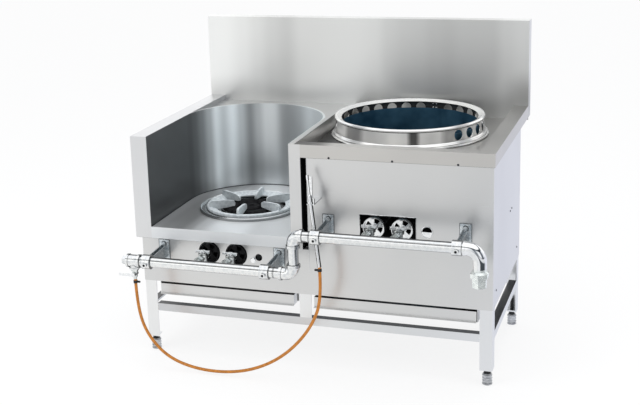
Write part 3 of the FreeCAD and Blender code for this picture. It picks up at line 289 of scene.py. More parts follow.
@dataclass(frozen=True)
class Finish:
    """A metal, cast, rubber or plastic finish, driven by one shared effect.

    The shade is painted shade and reflection in bands, on the pan ring also its seams: places and tones along
    an axis, or outwards from the centre where one is set. The lobes are painted shade and dark reflection on
    the faces that
    look one way: directions, each with where its tone starts, where it is full, and the tone. The inner tone is
    painted shade on the faces that look in towards the centre. The shade spots are soft spots of painted shade
    and dark
    reflection: middle, reach and tone.
    """

    name: str
    colour: Colour
    tint: Colour
    metallic: float
    roughness: Tuple[float, float]
    effect: Effect = Effect.GRAIN
    centre: Point = (0.0, 0.0, 0.0)
    turn: Point = (0.0, 0.0, 0.0)
    scale: Optional[float] = None
    bump: float = 0.02
    specular: float = 0.5
    shade: Tuple[Tuple[float, float], ...] = ()
    shade_axis: Axis = Axis.X
    shade_flat: bool = False
    inner_tone: float = 1.0
    lobes: Tuple[Tuple[Point, float, float, float], ...] = ()
    shade_spots: Tuple[Tuple[Point, Point, float], ...] = ()
    anisotropic: float = 0.0
    aniso_turn: float = 0.25

    MIX_STOPS = (0.3, 0.7)
    BUMP_DEPTH = 1.0
    INNER_START = -0.08
    INNER_END = -0.16

    def build(self, library: GroupLibrary) -> bpy.types.Material:
        """Make the material.

        Args:
            library: the shared effects.

        Returns:
            The material.
        """
        material = bpy.data.materials.new(self.name)
        material.use_nodes = True
        tree = material.node_tree
        tree.nodes.clear()
        coords = add(tree, "TexCoord")
        turned = {"Vector": coords.outputs["Object"], "Location": self.centre,
                  "Rotation": [math.radians(angle) for angle in self.turn]}
        mapping = add(tree, "Mapping", turned, vector_type="TEXTURE")
        scale = {} if self.scale is None else {"Scale": self.scale}
        skin = library.place(tree, self.effect, {"Vector": mapping.outputs["Vector"], **scale})
        ramp = add(tree, "ValToRGB", {"Fac": skin.outputs["Fac"]})
        for stop, place, colour in zip(ramp.color_ramp.elements, self.MIX_STOPS, (self.tint, self.colour)):
            stop.position = place
            stop.color = (*colour, 1.0)
        colour = self.toned(tree, coords, ramp.outputs["Color"])
        lobes = [(Vector(direction).normalized(), *reach) for direction, *reach in self.lobes]
        if self.inner_tone < 1.0:
            lobes.append((mapping.outputs["Vector"], self.INNER_START, self.INNER_END, self.inner_tone))
        for direction, start, end, tone in lobes:
            values = {"Colour": colour, "Normal": coords.outputs["Normal"], "Direction": direction,
                      "Start": start, "End": end, "Tone": tone}
            colour = library.place(tree, Effect.FACING, values).outputs["Colour"]
        colour = self.painted_spots(tree, coords, colour)
        smooth, rough = self.roughness
        height = skin.outputs["Height"]
        roughness = add(tree, "MapRange", {"Value": height, "To Min": smooth, "To Max": rough})
        bump = add(tree, "Bump", {"Strength": self.bump, "Distance": self.BUMP_DEPTH * MM, "Height": height})
        shader = add(tree, "BsdfPrincipled", {
            "Base Color": colour, "Metallic": self.metallic, "Roughness": roughness.outputs["Result"],
            "Normal": bump.outputs["Normal"], "Specular IOR Level": self.specular,
            "Anisotropic": self.anisotropic, "Anisotropic Rotation": self.aniso_turn})
        add(tree, "OutputMaterial", {"Surface": shader.outputs[0]})
        return material

    def toned(self, tree: Tree, coords: Node, colour: Socket) -> Socket:
        """Paint bands of shade and reflection along an axis, or outwards from the centre.

        Args:
            tree: the material's tree.
            coords: its texture coordinates.
            colour: the colour before the painted bands.

        Returns:
            The colour after the painted bands.
        """
        if not self.shade:
            return colour
        if any(self.centre):
            centre = (-self.centre[0], -self.centre[1], 0.0)
            flat = add(tree, "VectorMath", {0: coords.outputs["Object"], 1: (1.0, 1.0, 0.0), 2: centre},
                       operation="MULTIPLY_ADD")
            radius = add(tree, "VectorMath", {0: flat.outputs[0]}, operation="LENGTH")
            place, offset = radius.outputs["Value"], 0.0
        else:
            axis = self.shade_axis.name
            split = add(tree, "SeparateXYZ", {0: coords.outputs["Object"]})
            place, offset = split.outputs[axis], SHIFT["XYZ".index(axis)]
        bands = tone_ramp(tree, place, [(mark * MM + offset, tone, tone, tone) for mark, tone in self.shade])
        if not self.shade_flat:
            return multiply(tree, colour, bands)
        upward = add(tree, "SeparateXYZ", {0: coords.outputs["Normal"]})
        return multiply(tree, colour, bands, upward.outputs["Z"])

    def painted_spots(self, tree: Tree, coords: Node, colour: Socket) -> Socket:
        """Paint soft spots of shade and dark reflection on the sheet, one about each spot.

        Args:
            tree: the material's tree.
            coords: its texture coordinates.
            colour: the colour before.

        Returns:
            The colour after.
        """
        place = coords.outputs["Object"]
        for middle, reach, tone in self.shade_spots:
            away = add(tree, "VectorMath", {0: place, 1: local(*middle)}, operation="SUBTRACT")
            share = add(tree, "VectorMath", {0: away.outputs[0], 1: Vector(reach) * MM}, operation="DIVIDE")
            distance = add(tree, "VectorMath", {0: share.outputs[0]}, operation="LENGTH")
            fade = add(tree, "MapRange", {"Value": distance.outputs["Value"], "To Min": tone, "To Max": 1.0},
                       interpolation_type="SMOOTHSTEP")
            colour = multiply(tree, colour, fade.outputs["Result"])
        return colour


WOK_CENTRE = (838, 430)
BAY_CENTRE = (303, 290)
WOK_AXIS = tuple(local(*WOK_CENTRE, 0))
BAY_AXIS = tuple(local(*BAY_CENTRE, 0))

UP = (0.0, 0.0, 1.0)
FRONT = (0.0, -1.0, 0.0)
# Face directions at the top, low, right and left edges of round parts as seen from the camera; lobes toward
# them paint dark reflections along those edges.
TOP_EDGE = (0.0, 0.25, 0.97)
LOW_EDGE = (0.0, -0.25, -0.97)
RIGHT_EDGE = (0.947, 0.322, 0.0)
LEFT_EDGE = (-0.947, -0.322, 0.0)

FINISHES: Tuple[Finish, ...] = (
    Finish("sheet_x", (0.72, 0.72, 0.715), (0.66, 0.665, 0.67), 1.0, (0.24, 0.36), anisotropic=0.45),
    # Painted reflection bands along the back guard, and painted dark reflections in soft spots at its lower
    # right and lower left.
    Finish("guard_sheet", (0.97, 0.975, 0.96), (0.92, 0.93, 0.92), 1.0, (0.34, 0.44), bump=0.008,
           anisotropic=0.4,
           shade=((60, 1.0), (138, 0.93), (195, 0.86), (253, 0.78), (311, 0.72), (369, 0.82), (590, 0.86),
                  (650, 0.85), (700, 0.78), (757, 0.75), (812, 0.74), (865, 0.69), (917, 0.67), (970, 0.71),
                  (1071, 0.71), (1121, 0.81), (1172, 0.86)),
           shade_spots=(((1200, 590, 770), (130, 400, 130), 0.45), ((980, 590, 740), (260, 400, 90), 0.6),
                  ((60, 590, 740), (420, 400, 110), 0.72))),
    # Painted shade on the rear panel's faces that look to the front, into the cabinet.
    Finish("rear_sheet", (0.74, 0.74, 0.735), (0.68, 0.685, 0.69), 1.0, (0.3, 0.42),
           lobes=((FRONT, 0.6, 0.9, 0.04),)),
    Finish("sheet_y", (0.77, 0.775, 0.785), (0.71, 0.715, 0.73), 1.0, (0.28, 0.4), turn=(0, 0, 90)),
    # Painted reflection bands across the U-shaped splash wall, dark at the left and bright towards the middle.
    Finish("bay_wall", (0.94, 0.985, 1.0), (0.91, 0.96, 0.985), 0.7, (0.3, 0.34), turn=(0, 90, 0),
           shade=((57, 0.1), (62, 0.16), (74, 0.27), (90, 0.5), (108, 1.0), (126, 0.8), (150, 1.0),
                  (178, 0.6), (209, 0.33), (236, 0.5), (266, 0.66), (298, 0.7), (330, 0.56), (400, 0.72),
                  (460, 0.96), (549, 0.9))),
    # Painted reflection bands on the deck's upward faces, and painted shade on its faces that look to the
    # front.
    Finish("deck_sheet", (0.94, 0.96, 0.975), (0.86, 0.885, 0.90), 0.5, (0.26, 0.42), turn=(0, 0, 90),
           shade=((66, 0.55), (110, 0.4), (160, 0.34), (190, 0.5), (218, 0.75), (275, 1.0), (303, 1.0),
                  (360, 1.0), (415, 0.85), (549, 0.8)), shade_flat=True, lobes=((FRONT, 0.6, 0.9, 0.84),)),
    # Painted shade on the table's upward faces: dark in the recess at the left, a little darker to the right.
    Finish("table_sheet", (0.68, 0.665, 0.64), (0.58, 0.57, 0.555), 1.0, (0.26, 0.4), aniso_turn=0.0,
           shade=((606, 0.15), (640, 0.28), (700, 1.0), (980, 1.0), (1080, 0.9), (1200, 0.85)),
           shade_flat=True),
    Finish("angle_steel", (0.88, 0.885, 0.89), (0.80, 0.81, 0.82), 1.0, (0.25, 0.4), turn=(0, 90, 0)),
    # Painted shade: the rails are darker at the left, and their upward faces carry a painted dark reflection.
    Finish("rail_steel", (0.78, 0.79, 0.80), (0.71, 0.72, 0.74), 1.0, (0.25, 0.4),
           shade=((0, 0.86), (520, 0.86), (640, 1.0), (1200, 1.0)), lobes=((UP, 0.6, 0.9, 0.12),)),
    # Painted shade on the ring's inner wall, and painted dark reflection bands on its outer wall.
    Finish("ring_polish", (0.99, 0.985, 0.96), (0.91, 0.915, 0.91), 0.6, (0.05, 0.13), Effect.RINGS, WOK_AXIS,
           inner_tone=0.1, lobes=(((0.276, -0.961, 0.08), 0.9955, 0.9993, 0.12),
                                  ((-0.559, -0.829, 0.08), 0.98, 0.995, 0.45),
                                  ((0.74, -0.673, 0.08), 0.978, 0.993, 0.5))),
    # Darker rings outwards from the bay's centre: the pan ring's seams as dark joints, and painted shade in the
    # ring round the trivet.
    Finish("pan_polish", (0.84, 0.87, 0.88), (0.72, 0.75, 0.77), 0.9, (0.14, 0.26), Effect.RINGS, BAY_AXIS,
           shade=((148, 0.2), (154, 0.25), (157, 0.95), (161, 1.0), (164, 0.55), (167, 0.9), (174, 1.0),
                  (176, 0.4), (177, 0.3))),
    Finish("heat_blue", (0.11, 0.26, 0.38), (0.03, 0.10, 0.17), 0.8, (0.3, 0.5), Effect.RINGS, WOK_AXIS,
           scale=300.0),
    # Painted shade on the trivet's faces that look to the front, and deeper on those that look to the back.
    Finish("cast_grey", (0.74, 0.79, 0.81), (0.60, 0.65, 0.68), 0.1, (0.4, 0.6), Effect.PITTED, bump=0.2,
           scale=500.0, lobes=(((0.3, -0.95, 0), 0.3, 0.85, 0.66), ((-0.3, 0.95, 0), 0.2, 0.7, 0.4))),
    Finish("burner_iron", (0.014, 0.014, 0.015), (0.006, 0.006, 0.007), 0.0, (0.6, 0.8), Effect.PITTED,
           bump=0.4, specular=0.1),
    Finish("black_iron", (0.014, 0.014, 0.015), (0.006, 0.006, 0.007), 0.0, (0.5, 0.7), Effect.PITTED,
           bump=0.3, specular=0.12),
    # Dark steel of screws and threads and the bay's seam, also used for painted shadows under hems and along
    # bracket plates.
    Finish("screw_dark", (0.10, 0.105, 0.11), (0.05, 0.05, 0.055), 0.9, (0.3, 0.5), Effect.PITTED, bump=0.1),
    # Polished plating, also used for painted highlights along cut edges.
    Finish("chrome", (0.90, 0.91, 0.92), (0.84, 0.85, 0.86), 1.0, (0.03, 0.07), Effect.PITTED, bump=0.01),
    # Painted shade up the feet: a little darker at the bottom, and dark at the nut under the leg.
    Finish("foot_steel", (0.74, 0.75, 0.76), (0.50, 0.51, 0.53), 1.0, (0.16, 0.34), Effect.PITTED, bump=0.1,
           shade=((0, 0.7), (30, 1.0), (37, 0.5), (39, 0.05), (60, 0.05)), shade_axis=Axis.Z),
    # From here to the torch tube the lobes paint dark reflections along the edges of round parts; the zinc
    # pipe's lobe that looks to the front and up paints a dark reflection band along it.
    Finish("nickel_brass", (0.84, 0.87, 0.86), (0.68, 0.72, 0.71), 0.95, (0.1, 0.22), Effect.PITTED,
           bump=0.06, lobes=((RIGHT_EDGE, 0.75, 0.92, 0.25), (TOP_EDGE, 0.85, 0.96, 0.3),
                             (LEFT_EDGE, 0.85, 0.96, 0.3))),
    Finish("union_nickel", (0.84, 0.88, 0.86), (0.70, 0.74, 0.73), 0.55, (0.2, 0.34), Effect.PITTED, bump=0.1,
           lobes=((TOP_EDGE, 0.8, 0.93, 0.3), (LEFT_EDGE, 0.9, 0.97, 0.5))),
    Finish("zinc_pipe", (0.86, 0.87, 0.87), (0.78, 0.80, 0.81), 1.0, (0.08, 0.18), Effect.PITTED, bump=0.03,
           lobes=((TOP_EDGE, 0.72, 0.88, 0.12), (LOW_EDGE, 0.84, 0.95, 0.4),
                  ((0, -0.82, 0.57), 0.982, 0.996, 0.5), (RIGHT_EDGE, 0.8, 0.93, 0.3),
                  (LEFT_EDGE, 0.84, 0.95, 0.3))),
    Finish("zinc_cast", (0.86, 0.87, 0.87), (0.72, 0.74, 0.76), 1.0, (0.1, 0.26), Effect.PITTED, scale=420.0,
           bump=0.12, lobes=((TOP_EDGE, 0.8, 0.93, 0.25), (LOW_EDGE, 0.8, 0.93, 0.3),
                             (RIGHT_EDGE, 0.8, 0.93, 0.25), (LEFT_EDGE, 0.84, 0.95, 0.25))),
    Finish("zinc_plate", (0.74, 0.78, 0.80), (0.54, 0.60, 0.64), 0.85, (0.2, 0.36), Effect.PITTED, bump=0.1,
           lobes=((RIGHT_EDGE, 0.85, 0.95, 0.4), (TOP_EDGE, 0.9, 0.97, 0.4))),
    Finish("lever_metal", (0.93, 0.94, 0.95), (0.82, 0.84, 0.86), 0.9, (0.1, 0.22), Effect.PITTED, bump=0.12,
           lobes=((RIGHT_EDGE, 0.75, 0.92, 0.2), (LOW_EDGE, 0.7, 0.9, 0.2))),
    Finish("torch_tube", (0.97, 0.97, 0.96), (0.88, 0.89, 0.90), 0.85, (0.06, 0.16), turn=(0, 90, 0),
           lobes=((RIGHT_EDGE, 0.2, 0.5, 0.05), (LEFT_EDGE, 0.75, 0.9, 0.15))),
    Finish("hose_rubber", (0.53, 0.20, 0.034), (0.43, 0.16, 0.026), 0.0, (0.34, 0.46), Effect.PITTED,
           scale=900.0, bump=0.05, specular=0.3),
    # Black plastic of the hose clips, also used as painted shade in the cocks' grooves and the burners' flame
    # ports.
    Finish("black_plastic", (0.012, 0.012, 0.013), (0.005, 0.005, 0.005), 0.0, (0.4, 0.6), Effect.PITTED,
           bump=0.1),
    # Matt black that stands for shade, behind the slot and in the clamp bolts' sockets.
    Finish("soot_board", (0.010, 0.011, 0.012), (0.004, 0.004, 0.005), 0.0, (0.8, 0.95), Effect.PITTED,
           bump=0.2, specular=0.1),
)

CORNERS = ("front_left", "front_right", "rear_left", "rear_right")
COCK_PLACES = {"stock_inner": (261, 368), "stock_outer": (356, 368),
               "wok_inner": (822, 494), "wok_outer": (913, 494)}

NODE_FINISH: Dict[str, Tuple[str, ...]] = {
    "sheet_x": ("front_panel_left", "front_panel_right", "drip_tray_left", "drip_tray_right", "partition",
                "rear_strip"),
    "rear_sheet": ("rear_panel",),
    "guard_sheet": ("back_guard",),
    "sheet_y": ("side_panel_left", "side_panel_right", "left_wing"),
    "bay_wall": ("splash_wall",),
    "deck_sheet": ("stock_deck",),
    "table_sheet": ("wok_table",),
    "angle_steel": (*("leg_" + corner for corner in CORNERS), "mid_posts", "tray_runners"),
    "rail_steel": ("lower_rails",),
    "ring_polish": ("wok_ring",),
    "pan_polish": ("pan_ring",),
    "heat_blue": ("furnace_liner",),
    "cast_grey": ("trivet",),
    "black_iron": ("air_shutter_stock_inner", "air_shutter_stock_outer"),
    "burner_iron": (*(train.replace("_", "_burner_") for train in COCK_PLACES), "venturi_tubes"),
    "chrome": ("outlet_elbow",),
    "foot_steel": tuple("foot_" + corner for corner in CORNERS),
    "nickel_brass": ("cock_bodies", "lighter_cock"),
    "union_nickel": ("inlet_union", "inlet_socket"),
    "zinc_pipe": ("lower_pipe", "upper_pipe", "riser_pipe"),
    "zinc_cast": ("manifold_elbows", "end_tee", "saddle_clamps"),
    "zinc_plate": ("pipe_brackets", "fixing_bolts"),
    "lever_metal": (*("cock_lever_" + train for train in COCK_PLACES), "lighter_lever", "torch_hook",
                    "air_shutter_wok_inner", "air_shutter_wok_outer"),
    "torch_tube": ("lighter_torch",),
    "hose_rubber": ("lighter_hose",),
    "black_plastic": ("hose_clips",),
}


# ---- mesh builder


@dataclass
class MeshPiece:
    """A mesh under construction, in frame coordinates. Its own sizes are millimetres."""

    name: str
    finish: str
    slot: str
    body: str = MAIN_BODY
    mesh: bmesh.types.BMesh = field(default_factory=bmesh.new)

    SMOOTH_ANGLE = 40.0

    def skin(self, rings: Sequence[List[bmesh.types.BMVert]], steps: int) -> None:
        """Join neighbouring rings of points with faces.

        Args:
            rings: rings of as many points as there are steps, or of one.
            steps: number of sides.
        """
        for a, b in zip(rings, rings[1:]):
            for i in range(steps):
                j = (i + 1) % steps
                corners = list(dict.fromkeys([a[i % len(a)], a[j % len(a)], b[j % len(b)], b[i % len(b)]]))
                if len(corners) > 2:
                    self.mesh.faces.new(corners)

    def lathe(self, profile: Profile, centre: Vector, turn: Matrix, steps: int) -> None:
        """Add a turned form.

        Args:
            profile: (radius, height) points; a zero radius closes the end.
            centre: where height zero of the axis is, in the frame.
            turn: turn that takes +Z onto the axis.
            steps: number of sides.
        """
        rings = []
        for radius, height in profile:
            angles = [2 * math.pi * i / steps for i in range(steps if radius else 1)]
            points = [circle(angle, radius) + Vector((0, 0, height)) for angle in angles]
            rings.append([self.mesh.verts.new(centre + turn @ (point * MM)) for point in points])
        self.skin(rings, steps)

    def tube(self, points: Sequence[Vector], radius: float, sides: int) -> None:
        """Add a round bar through points.

        Args:
            points: the middle line, in the frame.
            radius: radius of the bar.
            sides: number of sides.
        """
        rings = []
        for i, point in enumerate(points):
            turn = facing(points[min(i + 1, len(points) - 1)] - points[max(i - 1, 0)])
            offsets = [circle(2 * math.pi * k / sides, radius * MM) for k in range(sides)]
            rings.append([self.mesh.verts.new(point + turn @ offset) for offset in offsets])
        self.skin(rings, sides)
        self.mesh.faces.new(list(reversed(rings[0])))
        self.mesh.faces.new(rings[-1])

    def edge(self, a: Vector, b: Vector, radius: float) -> None:
        """Add a thin straight bead of six sides from one point of the frame to another."""
        self.tube([a, a.lerp(b, 0.5), b], radius, 6)

    def slab(self, low: Point, high: Point) -> None:
        """Add a thin board.

        Args:
            low: lowest corner.
            high: highest corner.
        """
        corners = local(*low), local(*high)
        middle, size = (corners[0] + corners[1]) / 2, corners[1] - corners[0]
        for vert in bmesh.ops.create_cube(self.mesh, size=1.0)["verts"]:
            vert.co = middle + vert.co * size

    def half_disc(self, centre: Vector, radius: float, thickness: float, steps: int = 24) -> None:
        """Add the lower half of an upright disc that faces the front.

        Args:
            centre: middle of its straight edge, on its front face, in the frame.
            radius: radius of the disc.
            thickness: thickness to the back.
            steps: sides of the half round.
        """
        angles = [math.pi + math.pi * i / steps for i in range(steps + 1)]
        rings = []
        for depth in (0.0, thickness):
            points = [Vector((radius * math.cos(a), depth, radius * math.sin(a))) for a in angles]
            rings.append([self.mesh.verts.new(centre + point * MM) for point in points])
        self.mesh.faces.new(rings[0])
        self.mesh.faces.new(list(reversed(rings[1])))
        self.skin(rings, steps + 1)

    def close(self, materials: Materials) -> None:
        """Turn the mesh into an object that rides on its body.

        Args:
            materials: the materials by name.
        """
        bmesh.ops.recalc_face_normals(self.mesh, faces=self.mesh.faces)
        for face in self.mesh.faces:
            face.smooth = True
        for edge in self.mesh.edges:
            if len(edge.link_faces) == 2 and edge.calc_face_angle(0) > math.radians(self.SMOOTH_ANGLE):
                edge.smooth = False
        data = bpy.data.meshes.new(self.name)
        self.mesh.to_mesh(data)
        self.mesh.free()
        data.materials.append(materials[self.finish])
        obj = bpy.data.objects.new(self.name, data)
        bpy.context.scene.collection.objects.link(obj)
        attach(obj, self.body)
        LOG.info("%s in %s rides on %s", self.name, self.finish, self.body)


# ---- sub-assemblies


@dataclass
class Cabinet:
    """Trim of the cabinet: screws, painted highlights on cut edges, shadowed hems, a painted shadow in the
    slot, sight covers and weld beads.
    """

    materials: Materials
    screw_dome: Profile = ((0, 1.8), (1.6, 1.6), (3.2, 0.9), (3.8, 0))
    hem_screws: Tuple[Point, ...] = ((681, 0, 711), (884, 0, 711), (1088, 0, 711))
    side_screws: Tuple[Point, ...] = ((1196, 365, 476), (1196, 333, 475), (1196, 60, 300), (1196, 490, 300))
    slot_shadow_boxes: Tuple[Tuple[Point, Point], ...] = (((587.1, 2.5, 405), (588.3, 36.8, 707)),
                                                    ((588.3, 35.4, 405), (605.9, 36.8, 707)))
    window: Tuple[Tuple[float, float], ...] = ((777, 430), (957, 430), (957, 535), (777, 535))
    slot_edge: Tuple[Point, ...] = ((606.3, 3.6, 330), (606.3, 3.6, 520), (606.3, 3.6, 706))
    panel_face: float = 3.6
    hem_gaps: Tuple[Tuple[float, float, float], ...] = ((2, 548, 403.6), (608, 1198, 707.6))
    hem_gap_y: float = 2.6
    left_flap: Profile = ((0, 2.2), (8.5, 2.2), (9.5, 1.2), (9.5, 0))
    flap_place: Point = (414, 4, 352)
    flap_pin: Profile = ((0, 6), (3, 6), (3.6, 5), (3.6, 0))
    pin_place: Point = (417, 4, 360)
    half_cover: Tuple[float, float] = (16.5, 1.2)
    cover_place: Point = (991, 2.4, 491)
    sight_bezel: Profile = ((16.6, 0), (16.8, 2.2), (17.6, 2.6), (18.6, 2), (18.8, 0))
    bezel_place: Point = (991, 4, 491)
    window_edge: float = 1.1
    slot_bead: float = 0.9
    gap_radius: float = 0.9
    weld_radius: float = 1.1
    weld_x: Tuple[float, float] = (62.2, 1153.8)
    weld_y: Tuple[float, float] = (5.2, 548.8)
    weld_z: Tuple[float, ...] = (146, 150, 155, 160, 165, 170)

    def build(self) -> None:
        """Dress the whole cabinet."""
        self.screws()
        self.slot_board()
        self.cut_edges()
        self.hem_shadows()
        self.sight_covers()
        self.rail_welds()

    def screws(self) -> None:
        """Domed screws of the hem and of the cabinet's side."""
        piece = MeshPiece("panel_screws", "screw_dark", "stainless_sheet")
        for places, axis in ((self.hem_screws, Axis.FRONT), (self.side_screws, Axis.X)):
            for place in places:
                piece.lathe(self.screw_dome, local(*place), axis.value, steps=16)
        piece.close(self.materials)

    def slot_board(self) -> None:
        """Painted shade: dark boards behind the slot beside the partition's flange, where the cabinet's inside
        lies in shade.
        """
        piece = MeshPiece("slot_board", "soot_board", "stainless_sheet")
        for low, high in self.slot_shadow_boxes:
            piece.slab(low, high)
        piece.close(self.materials)

    def cut_edges(self) -> None:
        """Painted highlights along the cut edges round the slot and the burner window."""
        piece = MeshPiece("cut_edges", "chrome", "stainless_sheet")
        corners = [local(x, self.panel_face, z) for x, z in self.window]
        for a, b in zip(corners, corners[1:] + corners[:1]):
            piece.edge(a, b, self.window_edge)
        piece.tube([local(*place) for place in self.slot_edge], self.slot_bead, sides=6)
        piece.close(self.materials)

    def hem_shadows(self) -> None:
        """Dark gaps under the folded hems, where they stand off the front panels."""
        piece = MeshPiece("hem_shadows", "screw_dark", "stainless_sheet")
        for x0, x1, z in self.hem_gaps:
            piece.edge(local(x0, self.hem_gap_y, z), local(x1, self.hem_gap_y, z), self.gap_radius)
        piece.close(self.materials)

    def sight_covers(self) -> None:
        """Sight-hole covers: a swung flap beside the left hole, a half disc and a bezel at the right one."""
        piece = MeshPiece("sight_covers", "lever_metal", "stainless_sheet")
        turn = Axis.FRONT.value
        piece.lathe(self.left_flap, local(*self.flap_place), turn, steps=28)
        piece.lathe(self.flap_pin, local(*self.pin_place), turn, steps=16)
        piece.half_disc(local(*self.cover_place), *self.half_cover)
        piece.lathe(self.sight_bezel, local(*self.bezel_place), turn, steps=40)
        piece.close(self.materials)

    def rail_welds(self) -> None:
        """Weld beads where the lower rails meet the legs."""
        piece = MeshPiece("rail_welds", "lever_metal", "stainless_angle")
        for x in self.weld_x:
            for y in self.weld_y:
                piece.tube([local(x, y, z) for z in self.weld_z], self.weld_radius, sides=8)
        piece.close(self.materials)


@dataclass
class StockBay:
    """The stock-pot bay: the dark seam where its U-shaped splash wall meets the deck."""

    materials: Materials
    wall_radius: float = 244.4
    wall_centre: Tuple[float, float] = (303, 332)
    seam_z: float = 443.9
    seam_radius: float = 1.4
    straight_y: Tuple[float, ...] = (2, 60, 120, 200, 280)
    arc_steps: int = 32

    def build(self) -> None:
        """Lay the seam up one side, round the back and down the other side."""
        piece = MeshPiece("wall_seam", "screw_dark", "stainless_sheet")
        x, y = self.wall_centre
        path = [local(x - self.wall_radius, along, self.seam_z) for along in self.straight_y]
        for i in range(self.arc_steps + 1):
            angle = math.pi - math.pi * i / self.arc_steps
            path.append(local(x, y, self.seam_z) + circle(angle, self.wall_radius * MM))
        path += [local(x + self.wall_radius, along, self.seam_z) for along in reversed(self.straight_y)]
        piece.tube(path, self.seam_radius, sides=8)
        piece.close(self.materials)


@dataclass
class WokRing:
    """The wok ring's seam, held by pairs of rivets."""

    materials: Materials
    seam_angle: float = 82.0
    head: Profile = ((0, 2), (2, 1.6), (3.5, 0))
    seat_radius: float = 246.2
    half_pitch: float = 6.0
    heights: Tuple[float, ...] = (722, 738, 752)

    def build(self) -> None:
        """Set the rivets along the seam."""
        piece = MeshPiece("ring_rivets", "chrome", "polished_stainless", "wok_ring")
        out = circle(math.radians(self.seam_angle), 1.0)
        for height in self.heights:
            for side in (-self.half_pitch, self.half_pitch):
                across = Vector((-out.y, out.x, 0)) * side
                spot = local(*WOK_CENTRE, height) + (out * self.seat_radius + across) * MM
                piece.lathe(self.head, spot, facing(-out), steps=12)
        piece.close(self.materials)


@dataclass(frozen=True)
class BurnerHead:
    """One ring of flame ports: its radius, their number and how far under the head's top they are."""

    name: str
    radius: float
    count: int
    drop: float


@dataclass
class Burners:
    """Painted shade: dark discs in the flame ports round the four burner heads."""

    materials: Materials
    stations: Tuple[Tuple[str, Tuple[float, float], float], ...] = (("stock", BAY_CENTRE, 449),
                                                                    ("wok", WOK_CENTRE, 592))
    heads: Tuple[BurnerHead, ...] = (BurnerHead("inner", 34, 16, 9), BurnerHead("outer", 88, 36, 12))
    port: Profile = ((0, 0.3), (1.6, 0.3), (1.9, 0))

    def build(self) -> None:
        """Set the ports of each head as one piece."""
        for station, centre, top in self.stations:
            for head in self.heads:
                piece = MeshPiece("%s_%s_ports" % (station, head.name), "black_plastic", "cast_iron")
                for i in range(head.count):
                    out = circle(2 * math.pi * (i + 0.5) / head.count, 1.0)
                    spot = local(*centre, top - head.drop) + out * head.radius * MM
                    piece.lathe(self.port, spot, facing(out), steps=8)
                piece.close(self.materials)


